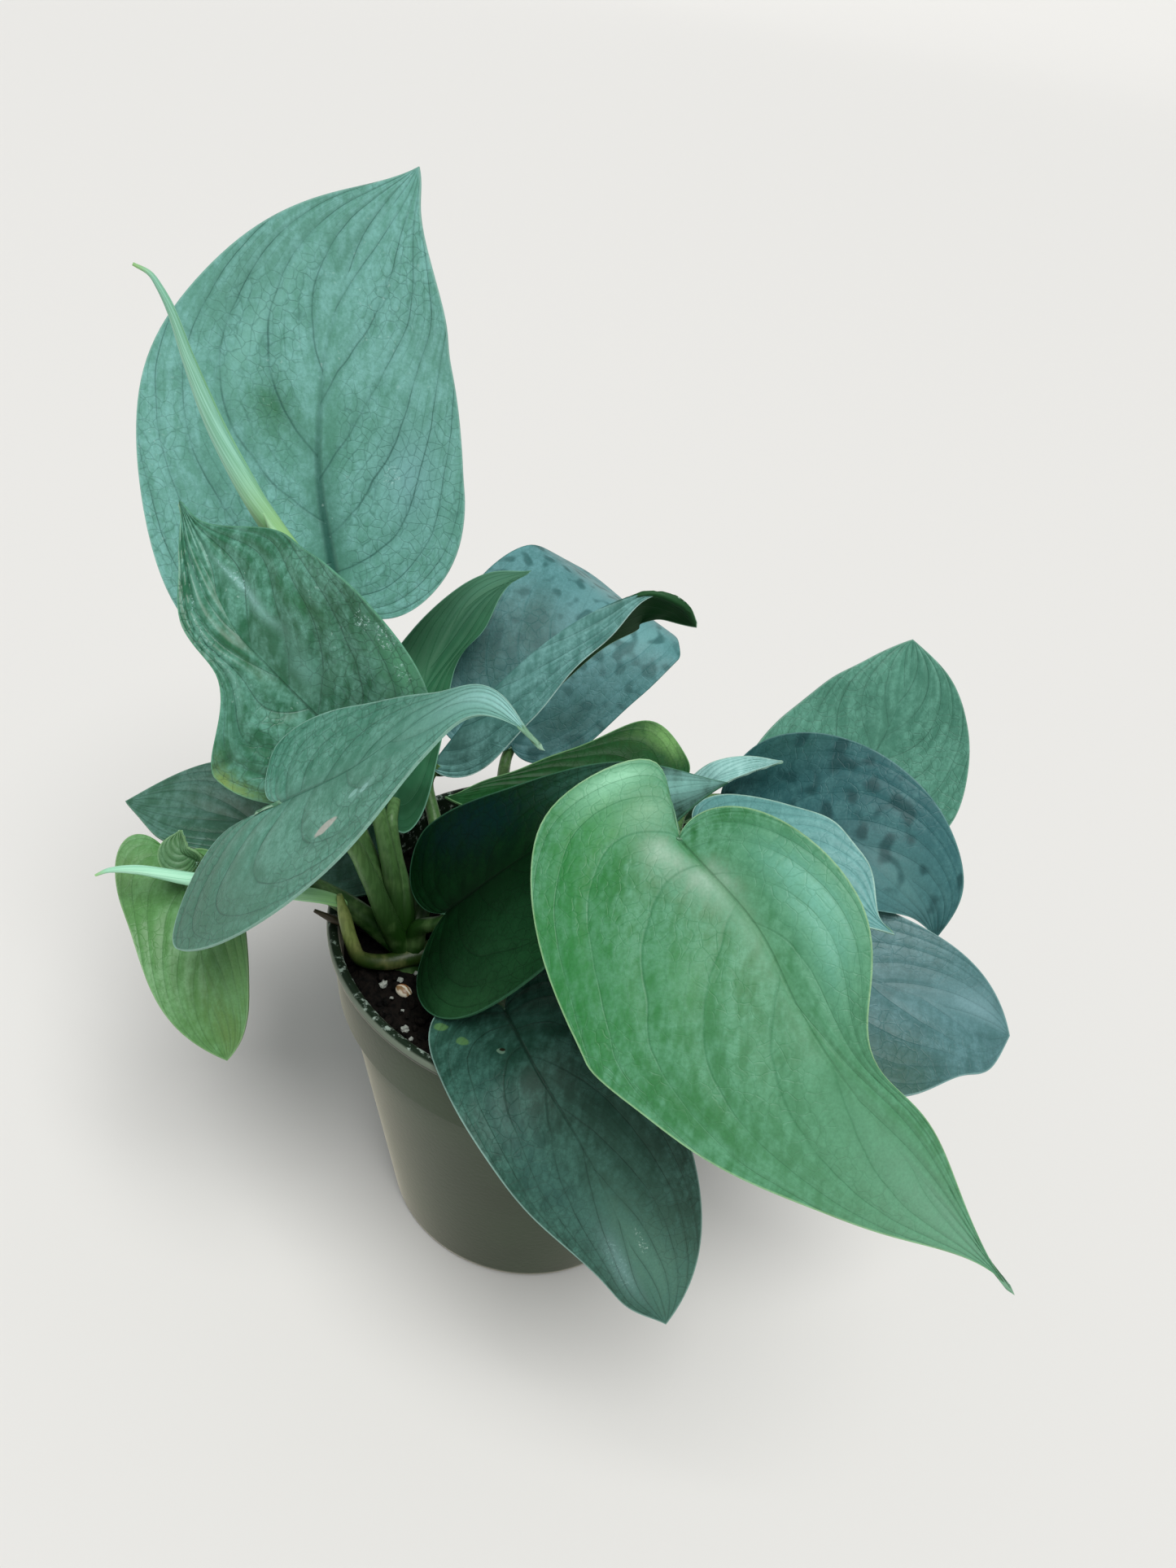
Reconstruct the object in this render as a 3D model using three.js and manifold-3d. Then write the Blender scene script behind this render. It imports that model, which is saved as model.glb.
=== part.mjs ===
// A potted scindapsus with silver leaves: a plastic nursery pot, its potting mix, the leafy shoots with
// their stalks, a heart-shaped blade for each leaf, and the young leaves that are still rolled up.
// Millimetres, +Z up. The origin is the middle of the pot's underside. The plant's front faces -Y.
import * as THREE from 'three';
import { mergeVertices } from 'three/addons/utils/BufferGeometryUtils.js';
import Module from 'manifold-3d';

const wasm = await Module();
wasm.setup();

// Driving dimensions of the pot and its soil
const POT_HEIGHT = 88;
const RIM_RADIUS = 52.5;
const RIM_HEIGHT = 3;
const COLLAR_HEIGHT = 18;
const COLLAR_STEP = 1.9;
const COLLAR_TAPER = 2.7;
const FOOT_RADIUS = 34.5;
const FOOT_ROUND = 2.6;
const WALL = 1.4;
const POT_SIDES = 40;
const DRAIN_HOLES = 6;
const DRAIN_RADIUS = 4;
const DRAIN_INSET = 5;
const DRAIN_SIDES = 12;
const SOIL_LEVEL = 78;
const SOIL_LUMP = 0.3;
const GAP = 0.3;

// Driving dimensions of the plant
const BLADE_THICKNESS = 0.8;
const BLADE_ROWS = 13;
const BLADE_COLUMNS = 3;
const WIDEST_AT = [0.24, 0.24];
const LOBE_SHARE = 0.42;
const WAVE_SPREAD = 0.09;
const BEND_REACH = 0.12;
const STALK_SIDES = 7;
const STALK_STEPS = 9;
const STALK_FOOT_RADIUS = 2.6;
const STALK_RADIUS = 1.7;
const STALK_TOP_RADIUS = 1.3;
const STALK_SPREAD = 1.5;
const STALK_RISE = 3;
const STALK_ROOM = 0.5;
const BEHIND_NOTCH = 4;
const UNDER_MIDRIB = 3;
const SHOOT_RADIUS = 6;
const SHOOT_DEPTH = 18;
const SHOOT_SIDES = 16;

const POT_COLOUR = '#3f4a3c';
const SOIL_COLOUR = '#2a1f19';
const STALK_COLOUR = '#6f8f4e';
const OLD_LEAF_COLOUR = '#3e6f68';
const YOUNG_LEAF_COLOUR = '#5a9f5c';

const plant = new THREE.Group();

function addPiece(name, geometry, color, roughness) {
  const mesh = new THREE.Mesh(geometry, new THREE.MeshStandardMaterial({ color, roughness, metalness: 0 }));
  mesh.name = name;
  plant.add(mesh);
}

function vector([x, y, z]) {
  return new THREE.Vector3(x, y, z);
}

// Geometries to solids that can be joined and cut, and back
function welded(geometry) {
  const bare = geometry.clone();
  bare.deleteAttribute('normal');
  bare.deleteAttribute('uv');
  return mergeVertices(bare, 1e-4);
}

function solidOf(geometry) {
  const mesh = welded(geometry);
  return new wasm.Manifold(new wasm.Mesh({
    numProp: 3,
    vertProperties: new Float32Array(mesh.getAttribute('position').array),
    triVerts: new Uint32Array(mesh.index.array),
  }));
}

function geometryOf(solid) {
  const { vertProperties, triVerts, numProp } = solid.getMesh();
  const positions = [];
  for (let i = 0; i < vertProperties.length; i += numProp) {
    positions.push(vertProperties[i], vertProperties[i + 1], vertProperties[i + 2]);
  }
  const geometry = new THREE.BufferGeometry();
  geometry.setAttribute('position', new THREE.Float32BufferAttribute(positions, 3));
  geometry.setIndex(Array.from(triVerts));
  return geometry;
}

function largestBody(solid) {
  return solid.decompose().sort((a, b) => b.volume() - a.volume())[0];
}

// A tube along a smooth line through some points, with its own radius at each of them and closed ends
function taperedTube(points, radii) {
  const line = new THREE.CatmullRomCurve3(points);
  const frames = line.computeFrenetFrames(STALK_STEPS);
  const tube = new THREE.CylinderGeometry(1, 1, 1, STALK_SIDES, STALK_STEPS);
  const place = tube.getAttribute('position');
  for (let i = 0; i < place.count; i += 1) {
    const along = place.getY(i) + 0.5;
    const step = Math.round(along * STALK_STEPS);
    const span = along * (radii.length - 1);
    const before = Math.min(Math.floor(span), radii.length - 2);
    const radius = THREE.MathUtils.lerp(radii[before], radii[before + 1], span - before);
    const spoke = frames.normals[step].clone().multiplyScalar(place.getX(i))
      .addScaledVector(frames.binormals[step], -place.getZ(i));
    const point = line.getPointAt(along).addScaledVector(spoke, radius);
    place.setXYZ(i, point.x, point.y, point.z);
  }
  return tube;
}

// The pot: one thin wall turned round the axis, with a wider collar below its rolled rim
const collarFoot = POT_HEIGHT - COLLAR_HEIGHT;
const collarRadius = RIM_RADIUS - COLLAR_TAPER;
const bodyTopRadius = collarRadius - COLLAR_STEP;

function potGeometry() {
  const outside = [
    [0, 0], [FOOT_RADIUS - FOOT_ROUND, 0], [FOOT_RADIUS - 0.3 * FOOT_ROUND, 0.3 * FOOT_ROUND],
    [FOOT_RADIUS, FOOT_ROUND], [bodyTopRadius, collarFoot - 1], [collarRadius, collarFoot + 0.6],
    [RIM_RADIUS - 1.1, POT_HEIGHT - RIM_HEIGHT], [RIM_RADIUS - 0.1, POT_HEIGHT - 0.75 * RIM_HEIGHT],
    [RIM_RADIUS, POT_HEIGHT - 0.25 * RIM_HEIGHT], [RIM_RADIUS - 0.9, POT_HEIGHT],
  ];
  const inside = [
    [RIM_RADIUS - 2.2, POT_HEIGHT - 0.4], [RIM_RADIUS - 2.6, POT_HEIGHT - 2],
    [collarRadius - WALL, collarFoot + 1.4], [bodyTopRadius - WALL, collarFoot - 0.4],
    [FOOT_RADIUS - WALL, WALL + 1.6], [FOOT_RADIUS - 2 * WALL, WALL], [0, WALL],
  ];
  const profile = [...outside, ...inside].map(([r, z]) => new THREE.Vector2(r, z));
  let solid = solidOf(new THREE.LatheGeometry(profile, POT_SIDES).rotateX(Math.PI / 2));
  const drainCircle = FOOT_RADIUS - DRAIN_INSET;
  for (let k = 0; k < DRAIN_HOLES; k += 1) {
    const angle = (k + 0.5) / DRAIN_HOLES * 2 * Math.PI;
    const drill = new THREE.CylinderGeometry(DRAIN_RADIUS, DRAIN_RADIUS, 6 * WALL, DRAIN_SIDES);
    drill.rotateX(Math.PI / 2);
    drill.translate(drainCircle * Math.cos(angle), drainCircle * Math.sin(angle), 0);
    solid = solid.subtract(solidOf(drill));
  }
  return geometryOf(solid);
}

addPiece('pot', potGeometry(), POT_COLOUR, 0.5);

// Where each leafy shoot comes out of the soil
const SHOOTS = {
  left: [-33, -11],
  back: [-8, 18],
  right: [12, -10],
};

function shootColumn(name, radius) {
  const [x, y] = SHOOTS[name];
  const column = new THREE.CylinderGeometry(radius, radius, SHOOT_DEPTH, SHOOT_SIDES).rotateX(Math.PI / 2);
  return column.translate(x, y, SOIL_LEVEL - SHOOT_DEPTH / 2);
}

// The soil follows the inside of the pot with a small gap, and its top is uneven
function soilGeometry() {
  const fit = GAP + 0.02;
  const soilRadius = RIM_RADIUS - 3.5 - fit;
  const outside = [
    [0, WALL + GAP], [FOOT_RADIUS - 2 * WALL - fit, WALL + GAP],
    [FOOT_RADIUS - WALL - fit, WALL + 1.6 + GAP],
    [bodyTopRadius - WALL - fit, collarFoot - 0.2], [collarRadius - WALL - fit, collarFoot + 1.6],
  ];
  const rings = [1, 0.88, 0.7, 0.48, 0.24, 0].map((share) => [share * soilRadius, SOIL_LEVEL]);
  const profile = [...outside, ...rings].map(([r, z]) => new THREE.Vector2(r, z));
  const soil = new THREE.LatheGeometry(profile, POT_SIDES).rotateX(Math.PI / 2);
  const place = soil.getAttribute('position');
  for (let i = 0; i < place.count; i += 1) {
    const [x, y, z] = [place.getX(i), place.getY(i), place.getZ(i)];
    const lump = Math.sin(0.21 * x + 0.13 * y) + Math.sin(0.37 * y - 0.18 * x + 1) + Math.sin(0.5 * x + 2);
    if (z === SOIL_LEVEL) place.setZ(i, z + SOIL_LUMP * lump);
  }
  let solid = solidOf(soil);
  for (const name of Object.keys(SHOOTS)) {
    for (const shift of [-GAP, 2]) {
      solid = solid.subtract(solidOf(shootColumn(name, SHOOT_RADIUS + GAP).translate(0, 0, shift)));
    }
  }
  return geometryOf(solid);
}

addPiece('soil', soilGeometry(), SOIL_COLOUR, 0.95);

// The flat outline of half a blade: from the notch at the stalk round the lobe to the widest place, then
// to the tip. full is how far the blade keeps its width towards the tip, from 0, a long taper, to 1, a
// blunt end, and each of the waves swells or draws in the edge near one place along it.
function halfOutline(s, leaf, side) {
  const [width, lobe, full] = [leaf.half[side], leaf.lobe[side], leaf.full[side]];
  const length = leaf.length;
  const widest = (leaf.widest ?? WIDEST_AT)[side] * length;
  const back = new THREE.CubicBezierCurve(
    new THREE.Vector2(0, 0), new THREE.Vector2(0.12 * width, -1.3 * lobe),
    new THREE.Vector2(width, -1.3 * lobe), new THREE.Vector2(width, widest),
  );
  const front = new THREE.CubicBezierCurve(
    new THREE.Vector2(width, widest), new THREE.Vector2(width, (0.5 + 0.25 * full) * length),
    new THREE.Vector2((0.1 + 0.55 * full) * width, (0.8 + 0.12 * full) * length),
    new THREE.Vector2(0, length),
  );
  const edge = s < LOBE_SHARE
    ? back.getPoint(s / LOBE_SHARE)
    : front.getPoint((s - LOBE_SHARE) / (1 - LOBE_SHARE));
  const closedEnds = 1 - (2 * s - 1) ** 8;
  for (const [where, outwards] of (leaf.waves ?? [[], []])[side]) {
    edge.x += outwards * closedEnds * Math.exp(-(((s - where) / WAVE_SPREAD) ** 2));
  }
  return edge;
}

// A point on the midrib, which runs straight on past both of its ends
function ribPoint(leaf, along) {
  const t = THREE.MathUtils.clamp(along / leaf.length, 0, 1);
  return leaf.line.getPointAt(t).addScaledVector(leaf.line.getTangentAt(t), along - t * leaf.length);
}

// A point of a blade in space. s runs along the edge from notch to tip, v from the left edge (-1) over
// the midrib (0) to the right edge (1), as seen with the tip up and the upper face towards the viewer.
function bladePoint(leaf, s, v) {
  const side = v < 0 ? 0 : 1;
  const width = leaf.half[side];
  const length = leaf.length;
  const edge = halfOutline(s, leaf, side);
  const root = s * s * length;
  const across = Math.abs(v) * edge.x;
  const along = THREE.MathUtils.lerp(root, edge.y, Math.abs(v));
  const t = THREE.MathUtils.smoothstep(along / length, 0, 1);
  const tangent = ribPoint(leaf, along + BEND_REACH * length);
  tangent.sub(ribPoint(leaf, along - BEND_REACH * length)).normalize();
  const centre = ribPoint(leaf, along);
  const facing = vector(leaf.face).lerp(vector(leaf.tipFace ?? leaf.face), t);
  facing.addScaledVector(tangent, -facing.dot(tangent)).normalize();
  const right = new THREE.Vector3().crossVectors(tangent, facing);
  const ratio = across / width;
  const tipFold = leaf.tipFold ?? leaf.fold;
  const fold = THREE.MathUtils.degToRad(THREE.MathUtils.lerp(leaf.fold[side], tipFold[side], t));
  const curl = THREE.MathUtils.degToRad(leaf.curl[side]) + 1e-6;
  const reach = width / curl * (Math.sin(fold + curl * ratio) - Math.sin(fold));
  const rise = width / curl * (Math.cos(fold) - Math.cos(fold + curl * ratio));
  return centre.addScaledVector(right, Math.sign(v) * reach).addScaledVector(facing, rise);
}

// A thin closed blade: the upper sheet, the same sheet moved down, and the strip round the edge that
// joins them
function bladeGeometry(leaf) {
  const flat = new THREE.PlaneGeometry(2, 1, 2 * BLADE_COLUMNS, BLADE_ROWS);
  const place = flat.getAttribute('position');
  for (let i = 0; i < place.count; i += 1) {
    const point = bladePoint(leaf, place.getY(i) + 0.5, place.getX(i));
    place.setXYZ(i, point.x, point.y, point.z);
  }
  const sheet = welded(flat);
  sheet.computeVertexNormals();
  const points = sheet.getAttribute('position');
  const normals = sheet.getAttribute('normal');
  const count = points.count;
  const positions = [];
  for (const offset of [0, -BLADE_THICKNESS]) {
    for (let i = 0; i < count; i += 1) {
      positions.push(points.getX(i) + offset * normals.getX(i));
      positions.push(points.getY(i) + offset * normals.getY(i));
      positions.push(points.getZ(i) + offset * normals.getZ(i));
    }
  }
  const triangles = [];
  const edges = new Map();
  for (let i = 0; i < sheet.index.count; i += 3) {
    const [a, b, c] = [0, 1, 2].map((k) => sheet.index.getX(i + k));
    if (a === b || b === c || c === a) continue;
    triangles.push(a, b, c, a + count, c + count, b + count);
    for (const [from, to] of [[a, b], [b, c], [c, a]]) {
      if (!edges.delete(`${to} ${from}`)) edges.set(`${from} ${to}`, [from, to]);
    }
  }
  for (const [from, to] of edges.values()) {
    triangles.push(from, from + count, to, to, from + count, to + count);
  }
  const geometry = new THREE.BufferGeometry();
  geometry.setAttribute('position', new THREE.Float32BufferAttribute(positions, 3));
  geometry.setIndex(triangles);
  return geometry;
}

// The leaves. rib is the midrib from the notch to the tip, and face the way the upper side looks, with
// tipFace where the tip looks another way. Each pair holds the left and the right half: half is the
// greatest width, lobe how far the lobe reaches behind the notch, widest where along the blade it is
// widest, full how bluntly it ends, fold and curl how far it is lifted (+) or dropped (-) at the midrib
// and towards the edge, in degrees, with tipFold for the fold at the tip. waves gives places along the
// edge and how far it swells out there. stalk is the way of the leaf's stalk between the soil and the
// notch, and straight is set where it meets the blade end on.
const LEAVES = [
  {
    name: 'leaf_tall', shoot: 'left', age: 'old',
    rib: [[-60, 26, 144], [-67, 35, 171], [-65, 42, 202], [-51, 45, 227]],
    face: [0, -0.95, 0.33], half: [38.5, 31], lobe: [14, 7], full: [0.2, 0.7], fold: [9, 8],
    curl: [0, -7],
    waves: [[[0.42, -2], [0.6, 1.5]], [[0.25, -1.5], [0.75, 2.5], [0.9, -3]]],
    stalk: [[-42, -9, 100], [-50, -4, 115], [-55, 8, 128]],
  },
  {
    name: 'leaf_crinkled', shoot: 'left', age: 'old',
    rib: [[-49, -5.5, 128], [-65, -5, 143], [-74, -2, 151], [-88, 12, 167]],
    face: [0.3, -0.9, 0.3], half: [17.5, 27], lobe: [9, 10.5], widest: [0.22, 0.34], full: [-0.3, 0.2],
    fold: [14, 23], curl: [-15, 14],
    waves: [[[0.42, 5.5], [0.6, -5], [0.75, 1.5], [0.9, 2]], [[0.6, 2], [0.75, 4.5], [0.9, -2]]],
    stalk: [[-39, -9, 104]],
  },
  {
    name: 'leaf_folded', shoot: 'left', age: 'old',
    rib: [
      [-55, -29, 130], [-41.5, -33, 143], [-28.5, -35, 157.5],
      [-19, -37.5, 164.5], [-7.5, -45.5, 162],
    ],
    face: [-0.79, -0.26, 0.55], half: [17.5, 26], lobe: [9, 26], widest: [0.03, -0.15],
    full: [-0.4, -0.5], fold: [-3, 1], curl: [10, -6],
    waves: [[[0.25, 2], [0.75, -1.5], [0.9, 1]], [[0.1, -5], [0.25, 3], [0.9, 1]]],
    stalk: [[-37, -14, 90], [-41, -18, 106], [-45, -22, 118]],
  },
  {
    name: 'leaf_left_silver', shoot: 'left', age: 'old',
    rib: [[-46, 5, 92], [-65, 3, 96], [-84, 2, 99], [-101, 3, 97]],
    face: [0.16, -0.34, 0.92], half: [14.5, 18], lobe: [6, 6], full: [0.6, 0.5], fold: [10, 10],
    curl: [0, 0],
    waves: [[[0.6, -1.5], [0.75, 1.5]], []],
    stalk: [[-41, -6, 88]],
  },
  {
    name: 'leaf_hanging', shoot: 'left', age: 'young',
    rib: [[-83.5, -13, 95.6], [-76, -23, 92], [-69, -35, 82], [-63.5, -41, 70]],
    face: [-0.16, -0.48, 0.86], half: [10.5, 13], lobe: [2, 12], widest: [0.28, 0.15], full: [0.9, 0.7],
    fold: [10, 9], curl: [0, 0],
    stalk: [[-45, -13, 91], [-53, -14, 96], [-63, -14.5, 96.5], [-73, -14, 94.3]], straight: true,
  },
  {
    name: 'leaf_turned', shoot: 'left', age: 'old',
    rib: [[-41, 1, 109], [-42, 17, 118], [-40, 31, 127], [-34, 45, 138], [-21.5, 53, 145]],
    face: [-0.4, 0.54, -0.74], half: [9, 10.5], lobe: [6, 6], full: [0.5, 0.2], fold: [10, 10],
    curl: [0, 0],
    waves: [[[0.6, -2.5], [0.75, 1.5], [0.9, -1.5]], [[0.9, 2]]],
    stalk: [[-35, -9, 94], [-38, -6, 102]],
  },
  {
    name: 'leaf_back', shoot: 'back', age: 'old',
    rib: [[-20, 39, 105], [-14.5, 54.5, 123], [-5.5, 69, 132.5], [1, 83, 126.5], [7, 91, 119]],
    face: [0.04, -0.69, 0.72], tipFace: [0.1, 0, 1], half: [26, 24], lobe: [7, 4], widest: [0.27, 0.6],
    full: [0.95, 0.8], fold: [5, 3], curl: [0, -10],
    waves: [[[0.42, -0.5]], [[0.42, 2]]],
    stalk: [[-19, 28, 96]],
  },
  {
    name: 'leaf_arching', shoot: 'left', age: 'old',
    rib: [
      [-36, 18, 110], [-24, 23, 130], [-10, 29, 145],
      [4, 34, 153], [13.5, 34.5, 152], [18, 37.5, 146],
    ],
    face: [-0.35, -0.35, 0.85], half: [18.5, 12], lobe: [4, 1], widest: [0.28, 0.25], full: [1, -0.25],
    fold: [-72, -51], curl: [-10, 0],
    waves: [[[0.6, -1.5], [0.75, 2], [0.9, 1]], [[0.42, -1], [0.75, 2], [0.9, -2]]],
    stalk: [[-32, -2, 88], [-32, 9, 98]],
  },
  {
    name: 'leaf_back_young', shoot: 'back', age: 'young',
    rib: [[21, 27, 110], [3, 24.5, 109.5], [-15.5, 18.5, 108.5], [-31.5, 14, 105]],
    face: [0.06, -0.14, 0.99], half: [17.5, 15.5], lobe: [5, 3.5], widest: [0.2, 0.13],
    full: [0.7, -0.45], fold: [10, 10], curl: [0, 5],
    waves: [[], [[0.25, -1.5], [0.42, 2.5], [0.6, -1.5], [0.9, 2]]],
    stalk: [[0, 26, 98]],
  },
  {
    name: 'leaf_middle', shoot: 'left', age: 'old',
    rib: [[-24.5, -16.5, 98.5], [-10, -17, 117], [8, -9, 129], [28, -1, 132]],
    face: [-0.65, -0.55, 0.51], half: [16, 28], lobe: [7.5, 12], widest: [0.08, 0.22],
    full: [0.25, 0.1], fold: [10, 15], curl: [6, 0],
    waves: [[[0.42, 2]], [[0.1, 1.5]]],
    stalk: [[-31, -12, 88]],
  },
  {
    name: 'leaf_front', shoot: 'right', age: 'young',
    rib: [
      [16.5, -43, 147], [30, -55.5, 142.5], [38.5, -65, 135], [47, -71.5, 128],
      [59, -75.5, 117.5], [72, -77.5, 105], [85, -79, 92],
    ],
    face: [-0.17, -0.67, 0.72], half: [16.5, 32], lobe: [2, 22.5], full: [-0.25, -0.25], fold: [20, 8],
    tipFold: [0, 0], curl: [-15, -15],
    waves: [[[0.6, -6.5]], [[0.08, -14.5], [0.25, -2.5], [0.42, 2.5], [0.8, 1.5]]],
    stalk: [[18, -22, 96], [21, -33, 116], [16, -38, 137]],
  },
  {
    name: 'leaf_back_right', shoot: 'back', age: 'old',
    rib: [[64, 49, 97], [71, 57, 112], [74, 63, 127], [73.5, 68, 137]],
    face: [-0.04, -0.95, 0.32], half: [26, 24], lobe: [7, 7], widest: [0, 0.24], full: [0.7, 0.5],
    fold: [10, 10], curl: [0, 0],
    waves: [[[0.42, 1.5]], [[0.42, 1.5]]],
    stalk: [[20, 34, 98], [44, 46, 96]],
  },
  {
    name: 'leaf_right_blue', shoot: 'right', age: 'old',
    rib: [[32, 11, 113], [47, 5, 121], [63, -1.5, 120.5], [74, -4, 113.5], [79, -5, 104]],
    face: [-0.24, -0.6, 0.77], half: [20, 18.5], lobe: [3.5, 7], widest: [0.3, 0.17], full: [0.5, 0.25],
    fold: [7, 10], curl: [0, 0],
    waves: [[[0.25, -1]], []],
    stalk: [[20, 2, 98]],
  },
  {
    name: 'leaf_inner', shoot: 'right', age: 'old',
    rib: [[22, 12, 117], [27, 12, 124], [33, 13, 127.5], [40, 12, 131]],
    face: [-0.53, -0.43, 0.73], half: [4, 2.6], lobe: [1.5, 1.5], full: [0.3, 0.5], fold: [5, 5],
    curl: [0, 0],
    stalk: [[16, -4, 94], [20, 2, 108]],
  },
  {
    name: 'leaf_right_silver', shoot: 'right', age: 'old',
    rib: [[28, -3, 118], [41, -10, 121], [54, -16, 120], [64.5, -21, 116.5]],
    face: [-0.13, -0.47, 0.88], half: [13.5, 13.5], lobe: [9, 5], widest: [0.28, 0.24],
    full: [0.15, 0.2], fold: [5, 5], curl: [0, 0],
    waves: [[[0.42, -1], [0.6, 1.5], [0.75, 2], [0.9, -1.5]], []],
    stalk: [[19, -6, 100]],
  },
  {
    name: 'leaf_right_low', shoot: 'right', age: 'old',
    rib: [[36, -8, 96], [56, -15, 100], [77, -19, 99], [96, -19, 93]],
    face: [-0.07, -0.55, 0.83], half: [15.5, 24], lobe: [6, 6], full: [0.9, 0.9], fold: [10, 13],
    curl: [0, 0],
    waves: [[], [[0.6, 2], [0.75, -2], [0.9, 1.5]]],
    stalk: [[24, -8, 90]],
  },
  {
    name: 'leaf_over_rim', shoot: 'right', age: 'old',
    rib: [[-8.5, -37.5, 94.5], [-0.5, -52.5, 96.5], [13, -62.5, 84], [32.5, -71, 52]],
    face: [-0.29, -0.32, 0.9], half: [19.5, 16.5], lobe: [7, 10], widest: [0.24, 0.05],
    full: [0.85, 0.4], fold: [5, 3], curl: [0, 0],
    waves: [[], [[0.25, 0.5], [0.6, 1], [0.9, 2]]],
    stalk: [[4, -28, 92]],
  },
  {
    name: 'leaf_small', shoot: 'left', age: 'young',
    rib: [[-77, -18, 102], [-80, -18, 104], [-81, -15, 107]],
    face: [0.2, -0.9, 0.35], half: [5.3, 2.7], lobe: [1, 1], full: [0.3, 0.3], fold: [10, 35],
    curl: [0, 0],
    stalk: [[-45, -13, 92], [-54, -14.5, 98], [-66, -15.5, 103]],
  },
];







for (const leaf of LEAVES) {
  leaf.line = new THREE.CatmullRomCurve3(leaf.rib.map(vector), false, 'catmullrom');
  leaf.length = leaf.line.getLength();
  const colour = leaf.age === 'old' ? OLD_LEAF_COLOUR : YOUNG_LEAF_COLOUR;
  addPiece(leaf.name, bladeGeometry(leaf), colour, 0.45);
}

// What else grows on the left shoot, each as a line with its radii: the upright rolled leaf on its stalk,
// the low rolled leaf and the old sheath it comes out of, and a dried scale
const GROWN_ON_LEFT = [
  {
    line: [[-36, -10, 84], [-41, -9, 98], [-49, -5, 115], [-56, 4, 137], [-62, 10, 154], [-65, 11, 161]],
    radii: [2.4, 1.9, 1.7, 1.5, 1.4, 1.8],
  },
  {
    line: [
      [-64, 11, 159], [-68, 11, 171], [-74, 10, 184], [-81, 10, 197], [-86, 10, 205], [-89, 10, 209],
      [-92, 9, 210.5],
    ],
    radii: [1.2, 2.2, 1.9, 1.6, 1.3, 0.9, 0.5],
  },
  {
    line: [
      [-46, -13.5, 93], [-51, -17, 97], [-57, -20.5, 100], [-76, -23, 101.5], [-87, -23, 101.5],
      [-93, -23, 100], [-96, -23, 98],
    ],
    radii: [1.6, 1.9, 2.1, 1.9, 1.6, 1.2, 0.5],
  },
  {
    line: [[-35, -12, 82], [-41, -12, 81.6], [-43.8, -12.5, 84], [-45.4, -12.5, 89], [-46.8, -12.3, 95.5]],
    radii: [2.4, 2.2, 1.9, 1.9, 1],
  },
  { line: [[-45, -12.5, 87], [-48, -13, 89.5], [-53, -14, 91]], radii: [1, 0.9, 0.4] },
];

// The stalk of a leaf: from its shoot through the points given for it, ending under the midrib at the notch
function stalkGeometry(leaf) {
  const [x, y] = SHOOTS[leaf.shoot];
  const tangent = leaf.line.getTangentAt(0);
  const notch = leaf.line.getPointAt(0);
  const facing = vector(leaf.face).addScaledVector(tangent, -vector(leaf.face).dot(tangent)).normalize();
  const below = BLADE_THICKNESS + GAP + STALK_TOP_RADIUS;
  const [first, ...others] = leaf.stalk.map(vector);
  const foot = new THREE.Vector3(first.x - x, first.y - y, 0).setLength(STALK_SPREAD);
  foot.add(new THREE.Vector3(x, y, SOIL_LEVEL + STALK_RISE));
  const behind = notch.clone().addScaledVector(tangent, -BEHIND_NOTCH).addScaledVector(facing, -below);
  const join = notch.clone().addScaledVector(tangent, UNDER_MIDRIB).addScaledVector(facing, -below);
  const points = [foot, first, ...others, ...(leaf.straight ? [] : [behind]), join];
  return taperedTube(points, [STALK_FOOT_RADIUS, STALK_RADIUS, STALK_TOP_RADIUS]);
}

// A shape with room all round it, for cutting back what comes close to it
function roomAround(geometry) {
  const solid = solidOf(geometry);
  const corners = welded(new THREE.IcosahedronGeometry(STALK_ROOM)).getAttribute('position');
  const copies = [solid];
  for (let i = 0; i < corners.count; i += 1) {
    copies.push(solid.translate([corners.getX(i), corners.getY(i), corners.getZ(i)]));
  }
  return wasm.Manifold.union(copies);
}

// Each leafy shoot grew as one piece: its stem in the soil, its stalks and what else grows on it
function shootGeometry(name) {
  const [x, y] = SHOOTS[name];
  const crown = new THREE.SphereGeometry(SHOOT_RADIUS, SHOOT_SIDES, 8).rotateX(Math.PI / 2);
  crown.translate(x, y, SOIL_LEVEL);
  let solid = solidOf(shootColumn(name, SHOOT_RADIUS)).add(solidOf(crown));
  for (const leaf of LEAVES.filter((item) => item.shoot === name)) {
    solid = solid.add(solidOf(stalkGeometry(leaf)).subtract(roomAround(bladeGeometry(leaf))));
  }
  if (name === 'left') {
    for (const { line, radii } of GROWN_ON_LEFT) {
      solid = solid.add(solidOf(taperedTube(line.map(vector), radii)));
    }
  }
  return geometryOf(largestBody(solid));
}

for (const name of Object.keys(SHOOTS)) {
  addPiece(`shoot_${name}`, shootGeometry(name), STALK_COLOUR, 0.5);
}

export default plant;
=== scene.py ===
# %% [markdown]
# # A potted scindapsus, piece by piece
# The plant stands in a plain plastic nursery pot. Its leaves are thin heart-shaped blades with a silvery bloom over
# green, each on its own arching stalk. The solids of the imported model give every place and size, and this file gives
# each piece its finer form and its finish. Everything is in metres, in the model's own frame: +Z is up, and the
# plant's front looks towards -Y.

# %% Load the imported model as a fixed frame
import math
import random

import bpy
import numpy as np
from mathutils import Matrix, Vector


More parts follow.
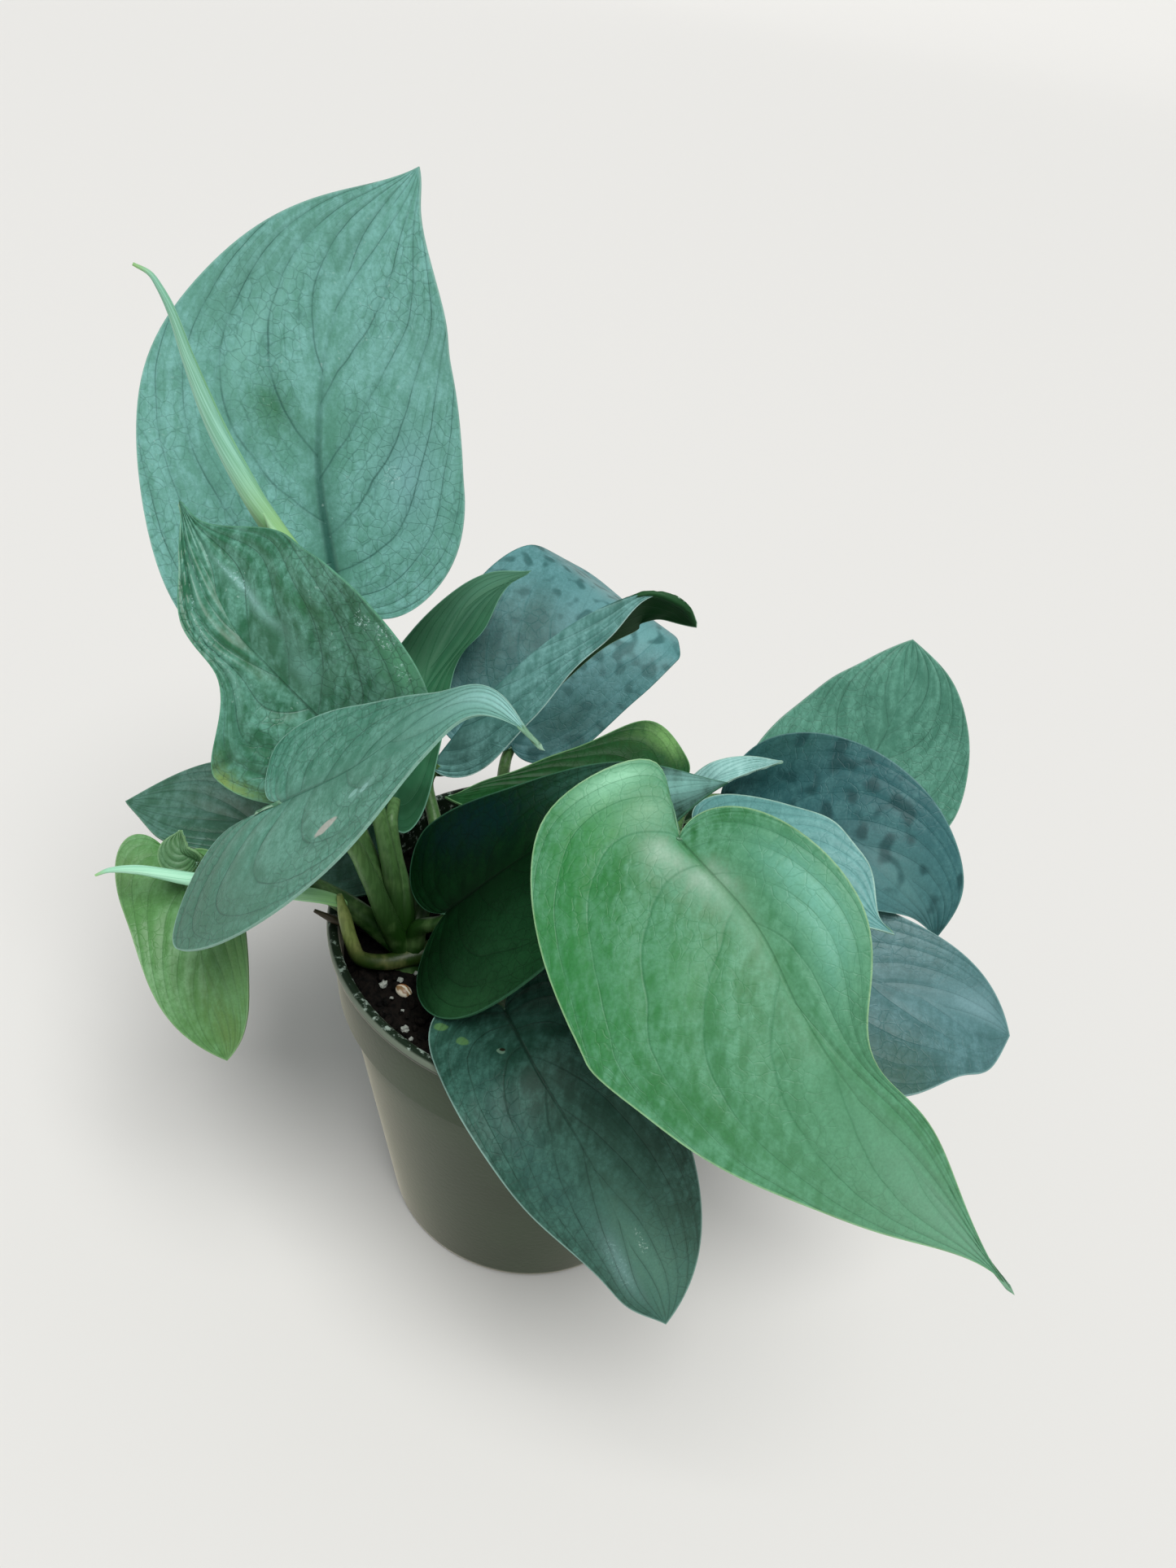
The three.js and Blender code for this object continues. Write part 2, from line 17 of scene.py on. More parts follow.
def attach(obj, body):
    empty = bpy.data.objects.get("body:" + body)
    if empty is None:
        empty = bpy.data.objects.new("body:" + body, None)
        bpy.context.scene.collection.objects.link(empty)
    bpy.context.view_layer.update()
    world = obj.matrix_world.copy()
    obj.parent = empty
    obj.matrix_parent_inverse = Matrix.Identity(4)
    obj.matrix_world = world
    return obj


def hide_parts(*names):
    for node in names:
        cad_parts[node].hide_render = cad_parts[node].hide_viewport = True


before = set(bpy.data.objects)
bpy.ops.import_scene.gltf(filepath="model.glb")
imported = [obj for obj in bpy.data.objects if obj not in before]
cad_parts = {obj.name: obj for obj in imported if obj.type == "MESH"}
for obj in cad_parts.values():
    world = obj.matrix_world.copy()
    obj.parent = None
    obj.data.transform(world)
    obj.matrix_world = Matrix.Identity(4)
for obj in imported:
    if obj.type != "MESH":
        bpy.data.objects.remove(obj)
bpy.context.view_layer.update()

bpy.ops.object.select_all(action="DESELECT")
MM = 0.001
print("nodes:", sorted(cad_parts))

# %% [markdown]
# ## The camera
# The photograph was taken from close by, above the rim and slightly turned, so near leaves look much larger than far
# ones. A short lens close to the plant gives the same perspective. A long lens further off would be easier to light,
# but it would flatten the leaves against each other.

# %% Camera at the photograph's place
CAMERA_PLACE = Vector((0, -0.1992, 0.2655))
CAMERA_TARGET = Vector((0, 0, 0.125))
CAMERA_ROLL = math.radians(9.7)
IMAGE_HEIGHT = 1927
FOCAL_PIXELS = 1447
SENSOR = 36

look_down = (CAMERA_TARGET - CAMERA_PLACE).to_track_quat("-Z", "Y").to_matrix()
turned = look_down @ Matrix.Rotation(CAMERA_ROLL, 3, "Z")
bpy.ops.object.camera_add(location=CAMERA_PLACE, rotation=turned.to_euler())
camera = bpy.context.object
camera.data.sensor_width = SENSOR
camera.data.lens = SENSOR * FOCAL_PIXELS / IMAGE_HEIGHT
camera.data.clip_start = 0.01
bpy.context.scene.camera = camera
print("camera right", [round(x, 3) for x in turned.col[0]], "up", [round(x, 3) for x in turned.col[1]])

# %% [markdown]
# ## Floor and light
# A pale floor whose far edge slopes up, like a wide shallow bowl, fills the picture behind the plant. One broad sun
# lamp from above acts as a soft box that is equally bright all over the floor, and the pale world fills the shadows.

# %% The sweep
SWEEP_RADIUS = 7.0
SWEEP_RINGS = [(1.0, 0.0), (1.15, 0.01), (1.3, 0.04), (1.45, 0.1), (1.6, 0.18), (1.8, 0.3)]

bpy.ops.mesh.primitive_circle_add(vertices=96, radius=SWEEP_RADIUS, fill_type="NGON")
floor = bpy.context.object
floor.name = "floor"
bpy.ops.object.mode_set(mode="EDIT")
bpy.ops.mesh.select_mode(type="EDGE")
bpy.ops.mesh.select_all(action="SELECT")
for (before, low), (after, high) in zip(SWEEP_RINGS, SWEEP_RINGS[1:]):
    lift = (high - low) * SWEEP_RADIUS
    bpy.ops.mesh.extrude_edges_move(TRANSFORM_OT_translate={"value": (0, 0, lift)})
    bpy.ops.transform.resize(value=(after / before, after / before, 1))
bpy.ops.object.mode_set(mode="OBJECT")
bpy.ops.object.shade_smooth()
print("floor sweep", len(floor.data.vertices), "vertices")

# %% Lamps and world
SUN_FROM = Vector((0.15, -0.4, 1.0))
SUN_STRENGTH = 2.9
SUN_SOFTNESS = math.radians(40)
WORLD_STRENGTH = 0.3
WORLD_COLOUR = (0.93, 0.97, 1.0, 1.0)

bpy.ops.object.light_add(type="SUN", rotation=SUN_FROM.to_track_quat("Z", "Y").to_euler())
sun = bpy.context.object
sun.data.energy = SUN_STRENGTH
sun.data.angle = SUN_SOFTNESS

world = bpy.data.worlds.new("soft_room")
world.use_nodes = True
sky = world.node_tree.nodes["Background"]
sky.inputs["Color"].default_value = WORLD_COLOUR
sky.inputs["Strength"].default_value = WORLD_STRENGTH
bpy.context.scene.world = world
bpy.context.scene.view_settings.view_transform = "Standard"
print("lights set")

# %% [markdown]
# ## A small kit for finishes
# A finish is a chain of nodes. Each method below adds one node and returns its output, so that a finish reads like a
# recipe. Colours are given as they look on a screen and are turned into linear light once.

# %% Finish kit
def paint(code):
    """A screen colour such as '#6f8f4e' as linear light with full alpha."""
    parts = [int(code[i:i + 2], 16) / 255 for i in (1, 3, 5)]
    return tuple(c / 12.92 if c <= 0.04045 else ((c + 0.055) / 1.055) ** 2.4 for c in parts) + (1.0,)


class Finish:
    """A material that is built one node at a time."""

    def __init__(self, name):
        self.material = bpy.data.materials.new(name)
        self.material.use_nodes = True
        self.tree = self.material.node_tree
        self.shader = self.tree.nodes["Principled BSDF"]

    def put(self, socket, value):
        if isinstance(value, bpy.types.NodeSocket):
            self.tree.links.new(value, socket)
        else:
            socket.default_value = value

    def set(self, **values):
        for key, value in values.items():
            self.put(self.shader.inputs[key.replace("_", " ")], value)

    def node(self, kind, **values):
        """A new node with some of its inputs filled, each by a number or by another node's output."""
        node = self.tree.nodes.new("ShaderNode" + kind)
        for key, value in values.items():
            self.put(node.inputs[key.replace("_", " ")], value)
        return node

    def math(self, operation, *values):
        node = self.node("Math")
        node.operation = operation
        for socket, value in zip(node.inputs, values):
            self.put(socket, value)
        return node.outputs[0]

    def times(self, first, *others):
        """The product of all values."""
        for other in others:
            first = self.math("MULTIPLY", first, other)
        return first

    def scaled(self, value, factor, added):
        """The value times a factor, plus something."""
        return self.math("MULTIPLY_ADD", value, factor, added)

    def mix(self, amount, first, second, blend="MIX"):
        node = self.node("Mix")
        node.data_type = "RGBA"
        node.blend_type = blend
        for socket, value in zip((node.inputs["Factor"], node.inputs[6], node.inputs[7]), (amount, first, second)):
            self.put(socket, value)
        return node.outputs[2]

    def coat(self, colour, code, *masks):
        """Lays a screen colour over a colour where all masks allow it."""
        return self.mix(self.times(*masks), colour, paint(code))

    def band(self, value, low, high):
        """0 below low, 1 above high, smooth between; low may be the larger one."""
        start, end, bottom, top = (low, high, 0, 1) if low < high else (high, low, 1, 0)
        node = self.node("MapRange", Value=value, From_Min=start, From_Max=end, To_Min=bottom, To_Max=top)
        node.interpolation_type = "SMOOTHSTEP"
        return node.outputs[0]

    def own(self, name):
        node = self.node("Attribute")
        node.attribute_name = name
        return node.outputs

    def map(self, name):
        node = self.node("UVMap")
        node.uv_map = name
        return self.split(node.outputs[0])

    def place(self):
        return self.node("TexCoord").outputs["Object"]

    def split(self, vector):
        return self.node("SeparateXYZ", Vector=vector).outputs[:3]

    def join(self, x, y, z):
        return self.node("CombineXYZ", X=x, Y=y, Z=z).outputs[0]

    def stretched(self, vector, *scales):
        """A place with each of its parts times a scale."""
        return self.join(*[self.times(part, scale) for part, scale in zip(self.split(vector), scales)])

    def noise(self, vector, scale, detail=2.0, roughness=0.5):
        return self.node("TexNoise", Vector=vector, Scale=scale, Detail=detail,
                         Roughness=roughness).outputs["Fac"]

    def cell_edges(self, vector, scale):
        """The distance from the nearest border between the cells of a Voronoi pattern."""
        node = self.node("TexVoronoi", Vector=vector, Scale=scale)
        node.feature = "DISTANCE_TO_EDGE"
        return node.outputs["Distance"]

    def bump(self, height, depth, strength):
        node = self.node("Bump", Height=height, Distance=depth, Strength=strength)
        self.put(self.shader.inputs["Normal"], node.outputs[0])


paper = Finish("pale_floor")
paper.set(Base_Color=paint("#dedcd8"), Roughness=0.9)
floor.data.materials.append(paper.material)
print("finish kit ready")

# %% [markdown]
# ## Smooth lines
# A midrib or a stalk is a smooth line through a few points. A Catmull-Rom line passes through each of them, and the
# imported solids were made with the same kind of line, so the finer leaves lie exactly where the solids do.

# %% Smooth lines
def smooth_line(points, even=True, steps=60):
    """Distances along the line and the places there. even spaces the knots evenly, else by the root of distance."""
    p = np.array(points, float)
    p = np.vstack([2 * p[0] - p[1], p, 2 * p[-1] - p[-2]])
    places = [p[1][None]]
    for p0, p1, p2, p3 in zip(p, p[1:], p[2:], p[3:]):
        gaps = [1.0 if even else np.linalg.norm(b - a) ** 0.5 for a, b in ((p0, p1), (p1, p2), (p2, p3))]
        d0, d1, d2 = gaps
        m1 = ((p1 - p0) / d0 - (p2 - p0) / (d0 + d1) + (p2 - p1) / d1) * d1
        m2 = ((p2 - p1) / d1 - (p3 - p1) / (d1 + d2) + (p3 - p2) / d2) * d1
        t = np.linspace(0, 1, steps + 1)[1:, None]
        places.append((2 * t**3 - 3 * t**2 + 1) * p1 + (t**3 - 2 * t**2 + t) * m1
                      + (3 * t**2 - 2 * t**3) * p2 + (t**3 - t**2) * m2)
    line = np.vstack(places)
    distance = np.concatenate([[0], np.cumsum(np.linalg.norm(np.diff(line, axis=0), axis=1))])
    return distance, line


def place_on(line, distance):
    """Places on a smooth line at some distances along it."""
    return np.stack([np.interp(distance, line[0], line[1][:, k]) for k in range(3)], axis=-1)


def unit(vectors):
    return vectors / np.linalg.norm(vectors, axis=-1, keepdims=True)


def direction_on(line, distance, reach=0.01):
    """Directions of a smooth line, averaged over a share of its length, with the line run on past its ends."""
    nudge = line[0][-1] * reach
    return unit(extended(line, distance + nudge) - extended(line, distance - nudge))


def extended(line, distance):
    """Places on a smooth line that runs straight on past both of its ends."""
    within = np.clip(distance, 0, line[0][-1])
    steps = np.array([0.0, 0.001, 0.999, 1.0]) * line[0][-1]
    start, after, before, end = place_on(line, steps)
    ends = np.where((distance < 0)[:, None], unit(after - start), unit(end - before))
    return place_on(line, within) + ends * (distance - within)[:, None]


print("a test line is", round(float(smooth_line([(0, 0, 0), (0, 0, 1)])[0][-1]), 3), "long")

# %% [markdown]
# ## The leaves' shapes
# Each leaf is described as a botanist would draw it: the midrib in space, the way its upper face looks, the greatest
# width and the lobe of each half, and how far the halves fold up or down. Pairs hold the left and the right half as
# seen with the tip up. Lengths are in millimetres, angles in degrees. The same values stand behind the solids.

# %% Leaf shapes
LEAVES = {
    "leaf_tall": dict(
        rib=[(-60, 26, 144), (-67, 35, 171), (-65, 42, 202), (-51, 45, 227)], face=(0, -0.95, 0.33),
        half=(38.5, 31), lobe=(14, 7), full=(0.2, 0.7), fold=(9, 8), curl=(0, -7),
        waves=([(0.42, -2), (0.6, 1.5)], [(0.25, -1.5), (0.75, 2.5), (0.9, -3)]),
        stalk=[(-42, -9, 100), (-50, -4, 115), (-55, 8, 128)]),
    "leaf_crinkled": dict(
        rib=[(-49, -5.5, 128), (-65, -5, 143), (-74, -2, 151), (-88, 12, 167)], face=(0.3, -0.9, 0.3),
        half=(17.5, 27), lobe=(9, 10.5), widest=(0.22, 0.34), full=(-0.3, 0.2), fold=(14, 23), curl=(-15, 14),
        waves=([(0.42, 5.5), (0.6, -5), (0.75, 1.5), (0.9, 2)], [(0.6, 2), (0.75, 4.5), (0.9, -2)]),
        stalk=[(-39, -9, 104)]),
    "leaf_folded": dict(
        rib=[(-55, -29, 130), (-41.5, -33, 143), (-28.5, -35, 157.5), (-19, -37.5, 164.5), (-7.5, -45.5, 162)],
        face=(-0.79, -0.26, 0.55), half=(17.5, 26), lobe=(9, 26), widest=(0.03, -0.15), full=(-0.4, -0.5),
        fold=(-3, 1), curl=(10, -6), waves=([(0.25, 2), (0.75, -1.5), (0.9, 1)], [(0.1, -5), (0.25, 3), (0.9, 1)]),
        stalk=[(-37, -14, 90), (-41, -18, 106), (-45, -22, 118)]),
    "leaf_left_silver": dict(
        rib=[(-46, 5, 92), (-65, 3, 96), (-84, 2, 99), (-101, 3, 97)], face=(0.16, -0.34, 0.92),
        half=(14.5, 18), lobe=(6, 6), full=(0.6, 0.5), fold=(10, 10), waves=([(0.6, -1.5), (0.75, 1.5)], []),
        stalk=[(-41, -6, 88)]),
    "leaf_hanging": dict(
        rib=[(-83.5, -13, 95.6), (-76, -23, 92), (-69, -35, 82), (-63.5, -41, 70)], face=(-0.16, -0.48, 0.86),
        half=(10.5, 13), lobe=(2, 12), widest=(0.28, 0.15), full=(0.9, 0.7), fold=(10, 9), straight=True,
        stalk=[(-45, -13, 91), (-53, -14, 96), (-63, -14.5, 96.5), (-73, -14, 94.3)]),
    "leaf_turned": dict(
        rib=[(-41, 1, 109), (-42, 17, 118), (-40, 31, 127), (-34, 45, 138), (-21.5, 53, 145)],
        face=(-0.4, 0.54, -0.74), half=(9, 10.5), lobe=(6, 6), full=(0.5, 0.2), fold=(10, 10),
        waves=([(0.6, -2.5), (0.75, 1.5), (0.9, -1.5)], [(0.9, 2)]), stalk=[(-35, -9, 94), (-38, -6, 102)]),
    "leaf_back": dict(
        rib=[(-20, 39, 105), (-14.5, 54.5, 123), (-5.5, 69, 132.5), (1, 83, 126.5), (7, 91, 119)],
        face=(0.04, -0.69, 0.72), tip_face=(0.1, 0, 1), half=(26, 24), lobe=(7, 4), widest=(0.27, 0.6),
        full=(0.95, 0.8), fold=(5, 3), curl=(0, -10), waves=([(0.42, -0.5)], [(0.42, 2)]), stalk=[(-19, 28, 96)]),
    "leaf_arching": dict(
        rib=[(-36, 18, 110), (-24, 23, 130), (-10, 29, 145), (4, 34, 153), (13.5, 34.5, 152), (18, 37.5, 146)],
        face=(-0.35, -0.35, 0.85), half=(18.5, 12), lobe=(4, 1), widest=(0.28, 0.25), full=(1, -0.25),
        fold=(-72, -51), curl=(-10, 0), waves=([(0.6, -1.5), (0.75, 2), (0.9, 1)], [(0.42, -1), (0.75, 2), (0.9, -2)]),
        stalk=[(-32, -2, 88), (-32, 9, 98)]),
    "leaf_back_young": dict(
        rib=[(21, 27, 110), (3, 24.5, 109.5), (-15.5, 18.5, 108.5), (-31.5, 14, 105)], face=(0.06, -0.14, 0.99),
        half=(17.5, 15.5), lobe=(5, 3.5), widest=(0.2, 0.13), full=(0.7, -0.45), fold=(10, 10), curl=(0, 5),
        waves=([], [(0.25, -1.5), (0.42, 2.5), (0.6, -1.5), (0.9, 2)]), stalk=[(0, 26, 98)]),
    "leaf_middle": dict(
        rib=[(-24.5, -16.5, 98.5), (-10, -17, 117), (8, -9, 129), (28, -1, 132)], face=(-0.65, -0.55, 0.51),
        half=(16, 28), lobe=(7.5, 12), widest=(0.08, 0.22), full=(0.25, 0.1), fold=(10, 15), curl=(6, 0),
        waves=([(0.42, 2)], [(0.1, 1.5)]), stalk=[(-31, -12, 88)]),
    "leaf_front": dict(
        rib=[(16.5, -43, 147), (30, -55.5, 142.5), (38.5, -65, 135), (47, -71.5, 128), (59, -75.5, 117.5),
             (72, -77.5, 105), (85, -79, 92)],
        face=(-0.17, -0.67, 0.72), half=(16.5, 32), lobe=(2, 22.5), full=(-0.25, -0.25), fold=(20, 8),
        tip_fold=(0, 0), curl=(-15, -15), waves=([(0.6, -6.5)], [(0.08, -14.5), (0.25, -2.5), (0.42, 2.5), (0.8, 1.5)]),
        stalk=[(18, -22, 96), (21, -33, 116), (16, -38, 137)]),
    "leaf_back_right": dict(
        rib=[(64, 49, 97), (71, 57, 112), (74, 63, 127), (73.5, 68, 137)], face=(-0.04, -0.95, 0.32),
        half=(26, 24), lobe=(7, 7), widest=(0, 0.24), full=(0.7, 0.5), fold=(10, 10),
        waves=([(0.42, 1.5)], [(0.42, 1.5)]), stalk=[(20, 34, 98), (44, 46, 96)]),
    "leaf_right_blue": dict(
        rib=[(32, 11, 113), (47, 5, 121), (63, -1.5, 120.5), (74, -4, 113.5), (79, -5, 104)],
        face=(-0.24, -0.6, 0.77), half=(20, 18.5), lobe=(3.5, 7), widest=(0.3, 0.17), full=(0.5, 0.25),
        fold=(7, 10), waves=([(0.25, -1)], []), stalk=[(20, 2, 98)]),
    "leaf_inner": dict(
        rib=[(22, 12, 117), (27, 12, 124), (33, 13, 127.5), (40, 12, 131)], face=(-0.53, -0.43, 0.73),
        half=(4, 2.6), lobe=(1.5, 1.5), full=(0.3, 0.5), fold=(5, 5), stalk=[(16, -4, 94), (20, 2, 108)]),
    "leaf_right_silver": dict(
        rib=[(28, -3, 118), (41, -10, 121), (54, -16, 120), (64.5, -21, 116.5)], face=(-0.13, -0.47, 0.88),
        half=(13.5, 13.5), lobe=(9, 5), widest=(0.28, 0.24), full=(0.15, 0.2), fold=(5, 5),
        waves=([(0.42, -1), (0.6, 1.5), (0.75, 2), (0.9, -1.5)], []), stalk=[(19, -6, 100)]),
    "leaf_right_low": dict(
        rib=[(36, -8, 96), (56, -15, 100), (77, -19, 99), (96, -19, 93)], face=(-0.07, -0.55, 0.83),
        half=(15.5, 24), lobe=(6, 6), full=(0.9, 0.9), fold=(10, 13),
        waves=([], [(0.6, 2), (0.75, -2), (0.9, 1.5)]), stalk=[(24, -8, 90)]),
    "leaf_over_rim": dict(
        rib=[(-8.5, -37.5, 94.5), (-0.5, -52.5, 96.5), (13, -62.5, 84), (32.5, -71, 52)], face=(-0.29, -0.32, 0.9),
        half=(19.5, 16.5), lobe=(7, 10), widest=(0.24, 0.05), full=(0.85, 0.4), fold=(5, 3),
        waves=([], [(0.25, 0.5), (0.6, 1), (0.9, 2)]), stalk=[(4, -28, 92)]),
    "leaf_small": dict(
        rib=[(-77, -18, 102), (-80, -18, 104), (-81, -15, 107)], face=(0.2, -0.9, 0.35), half=(5.3, 2.7),
        lobe=(1, 1), full=(0.3, 0.3), fold=(10, 35), stalk=[(-45, -13, 92), (-54, -14.5, 98), (-66, -15.5, 103)]),
}
print(len(LEAVES), "leaves")

# %% [markdown]
# ## From a flat grid to a blade
# A blade could be sculpted, or cut from a curved sheet. Here a flat grid is bent instead: one direction of the grid
# runs along the edge from the notch to the tip, the other across from the left edge over the midrib to the right
# edge. The rows then follow the side veins, as they do on the real leaf, and the finish can draw the veins from the
# grid's own UV map.

# %% Outline of half a blade
LOBE_SHARE = 0.42
WIDEST_AT = (0.24, 0.24)
WAVE_SPREAD = 0.09
LOBE_PULL = 1.3
BEND_REACH = 0.12


def bezier(points, t):
    a, b, c, d = [np.array(p, float) for p in points]
    t = t[:, None]
    return (1 - t)**3 * a + 3 * (1 - t)**2 * t * b + 3 * (1 - t) * t**2 * c + t**3 * d


def half_outline(s, leaf, side, length):
    """Places on the flat outline of one half, from the notch (s = 0) round the lobe to the tip (s = 1)."""
    width, lobe, full = leaf["half"][side], leaf["lobe"][side], leaf["full"][side]
    widest = leaf.get("widest", WIDEST_AT)[side] * length
    behind = -LOBE_PULL * lobe
    back = [(0, 0), (0.12 * width, behind), (width, behind), (width, widest)]
    front = [(width, widest), (width, (0.5 + 0.25 * full) * length),
             ((0.1 + 0.55 * full) * width, (0.8 + 0.12 * full) * length), (0, length)]
    edge = np.where((s < LOBE_SHARE)[:, None], bezier(back, np.clip(s / LOBE_SHARE, 0, 1)),
                    bezier(front, np.clip((s - LOBE_SHARE) / (1 - LOBE_SHARE), 0, 1)))
    closed_ends = 1 - (2 * s - 1)**8
    for where, outwards in leaf.get("waves", ((), ()))[side]:
        edge[:, 0] += outwards * closed_ends * np.exp(-((s - where) / WAVE_SPREAD)**2)
    return edge


half = half_outline(np.linspace(0, 1, 50), LEAVES["leaf_tall"], 0, 90)
print("the tall leaf's left half is", round(float(half[:, 0].max())), "mm wide")

# %% A blade in space
def blade_places(leaf, s, v):
    """Places in millimetres for edge shares s (0 to 1) and widths v (-1 to 1), with the rib and margin distances."""
    line = smooth_line(leaf["rib"])
    length = line[0][-1]
    edges = [half_outline(s, leaf, side, length) for side in (0, 1)]
    right_half = v >= 0
    edge = np.where(right_half[:, None], edges[1], edges[0])

    def chosen(pair):
        return np.where(right_half, pair[1], pair[0]).astype(float)

    root = s * s * length
    across = np.abs(v) * edge[:, 0]
    along = root + (edge[:, 1] - root) * np.abs(v)
    t = np.clip(along / length, 0, 1)
    t = t * t * (3 - 2 * t)
    tangent = direction_on(line, along, BEND_REACH)
    centre = extended(line, along)
    face = np.array(leaf["face"], float)
    tip_face = np.array(leaf.get("tip_face", face), float)
    facing = face + (tip_face - face) * t[:, None]
    facing = unit(facing - tangent * np.sum(facing * tangent, axis=1)[:, None])
    right = np.cross(tangent, facing)
    width = chosen(leaf["half"])
    fold = chosen(leaf["fold"])
    fold = np.radians(fold + (chosen(leaf.get("tip_fold", leaf["fold"])) - fold) * t)
    curl = np.radians(chosen(leaf.get("curl", (0, 0)))) + 1e-6
    turn = curl * across / width
    reach = width / curl * (np.sin(fold + turn) - np.sin(fold))
    rise = width / curl * (np.cos(fold) - np.cos(fold + turn))
    row = np.hypot(edge[:, 0], edge[:, 1] - root)
    places = centre + right * (np.sign(v) * reach)[:, None] + facing * rise[:, None]
    from_rib = np.hypot(across, np.minimum(along, 0))
    return places, facing, from_rib, row * (1 - np.abs(v))


print("the tall leaf is", round(float(smooth_line(LEAVES["leaf_tall"]["rib"])[0][-1])), "mm long")

# %% Bend a grid into each blade
GRID_ACROSS, GRID_ALONG = 40, 84
LEAF_THICKNESS = 0.5
VEINS = 7
VEIN_SLOPE, VEIN_BEND, VEIN_SHIFT = 0.22, 0.28, 0.045
QUILTED, QUILT_MIDDLE = 0.22, 0.6
QUILT = {"leaf_crinkled": 0.8, "leaf_middle": 0.2, "leaf_front": 0.3, "leaf_back": 0.1, "leaf_right_low": 0.1}
TUCKED, TUCK_REACH = {"leaf_front": 1.4}, 0.08


def read_all(items, name, width):
    values = np.empty(len(items) * width)
    items.foreach_get(name, values)
    return values.reshape(-1, width)


def bent_grid(name, across, along, bend):
    """Adds a grid, moves its points by bend(s, v) and returns the object with what bend says about each point."""
    bpy.ops.mesh.primitive_grid_add(x_subdivisions=across, y_subdivisions=along, size=2, calc_uvs=True)
    piece = bpy.context.object
    piece.name = piece.data.name = name
    flat = read_all(piece.data.vertices, "co", 3)
    places, *facts = bend((flat[:, 1] + 1) / 2, flat[:, 0])
    piece.data.vertices.foreach_set("co", (places * MM).ravel())
    piece.data.update()
    return piece, facts


def second_map(piece, name, first, second):
    """A second UV map that holds two measures of every point."""
    corners = read_all(piece.data.loops, "vertex_index", 1).astype(int).ravel()
    layer = piece.data.uv_layers.new(name=name)
    layer.data.foreach_set("uv", np.stack([first[corners], second[corners]], axis=1).ravel())


def weld(piece, distance=0.002):
    bpy.ops.object.mode_set(mode="EDIT")
    bpy.ops.mesh.select_all(action="SELECT")
    bpy.ops.mesh.remove_doubles(threshold=distance * MM)
    bpy.ops.object.mode_set(mode="OBJECT")


def thicken(piece, thickness, offset=-1, material_offset=0):
    """Turns a sheet into a wall. A finish for its other face has to be there already."""
    bpy.ops.object.modifier_add(type="SOLIDIFY")
    wall = piece.modifiers[-1]
    wall.thickness = thickness * MM
    wall.offset = offset
    wall.material_offset = material_offset
    bpy.ops.object.modifier_apply(modifier=wall.name)


def settle(piece, node=None):
    """A finished piece rides on the one body and may stand for a node."""
    piece.select_set(False)
    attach(piece, "root")
    if node:
        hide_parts(node)


def add_blade(name, leaf, finishes):
    """One leaf: its bent grid, swollen between the veins, with its maps, its tints, some of them painted shade and
    painted highlights, and both finishes.
    """
    def bend(s, v):
        places, facing, rib, margin = blade_places(leaf, s, v)
        a = np.abs(v)
        w = s - VEIN_SLOPE * a - VEIN_BEND * a**4 + VEIN_SHIFT * (v > 0)
        swell = np.abs(np.sin(np.pi * w * VEINS)) - QUILT_MIDDLE
        # The swelling fades out at the midrib, the margin, the notch and the tip
        fade = np.prod([np.clip(x, 0, 1) for x in (4 * a, 4 * (1 - a), 8 * s, 6 * (1 - s))], axis=0)
        places = places + facing * (QUILT.get(name, QUILTED) * swell * fade)[:, None]
        tucked = TUCKED.get(name, 0) * np.sin(np.pi * np.clip(s / TUCK_REACH, 0, 1)) * np.clip(3 * v, 0, 1)
        places = places - facing * tucked[:, None]
        return places, rib, margin, s, v
    piece, (rib, margin, s, v) = bent_grid(name + "_blade", GRID_ACROSS, GRID_ALONG, bend)
    second_map(piece, "reach", rib, margin)
    tint_and_painted_light = np.zeros((len(s), 4))
    for where_s, where_v, size_s, size_v, colour, strength in TINTS_AND_PAINTED_LIGHT.get(name, ()):
        share = (strength * np.exp(-((s - where_s) / size_s)**2 - ((v - where_v) / size_v)**2))[:, None]
        below = tint_and_painted_light[:, 3:] * (1 - share)
        tint_and_painted_light[:, :3] = (np.array(paint(colour)[:3]) * share + tint_and_painted_light[:, :3] * below) / np.maximum(share + below, 1e-6)
        tint_and_painted_light[:, 3:] = share + below
    layer = piece.data.color_attributes.new("tint_and_painted_light", "FLOAT_COLOR", "POINT")
    layer.data.foreach_set("color", tint_and_painted_light.ravel())
    weld(piece)
    for finish in finishes:
        piece.data.materials.append(finish)
    thicken(piece, LEAF_THICKNESS, material_offset=1)
    bpy.ops.object.shade_smooth_by_angle(angle=math.radians(50))
    settle(piece, name)
    return piece


print("a blade's grid has", GRID_ACROSS * GRID_ALONG, "squares")

# %% [markdown]
# ## How a leaf is coloured
# The upper face of the real leaf carries a silvery bloom in soft streaks between the side veins, with darker green
# along the midrib and the veins, a fine net of cross veins, and a pale line round the edge. All of it is drawn by
# nodes from two maps: UVMap says how far along the edge and across the blade a point lies, and reach holds its
# distance from the midrib and from the margin in millimetres, so lines keep their true width on every leaf. A
# colour attribute adds what one leaf alone shows in one place, such as a greener patch or a scar, and on some
# leaves it also holds painted shade and painted highlights where the light falls.

# %% Side veins
def vein_measure(f, v, s, place):
    """A measure that is the same all along one side vein: it leaves the midrib and curves up to the tip."""
    a = f.math("ABSOLUTE", v)
    w = f.scaled(a, -VEIN_SLOPE, s)
    w = f.scaled(f.math("POWER", a, 4.0), -VEIN_BEND, w)
    for scale, reach in ((70.0, 0.035), (260.0, 0.008)):
        sway = f.math("SUBTRACT", f.noise(place, scale, detail=1.0), 0.5)
        w = f.scaled(sway, reach, w)
    return f.scaled(f.math("GREATER_THAN", v, 0.0), VEIN_SHIFT, w)


def lines_along(f, w, count, width):
    """Thin lines where the vein measure passes each count-th of the blade."""
    return f.band(f.math("PINGPONG", f.times(w, float(count)), 0.5), width, 0.0)


print(VEINS, "side veins on each half of a blade")

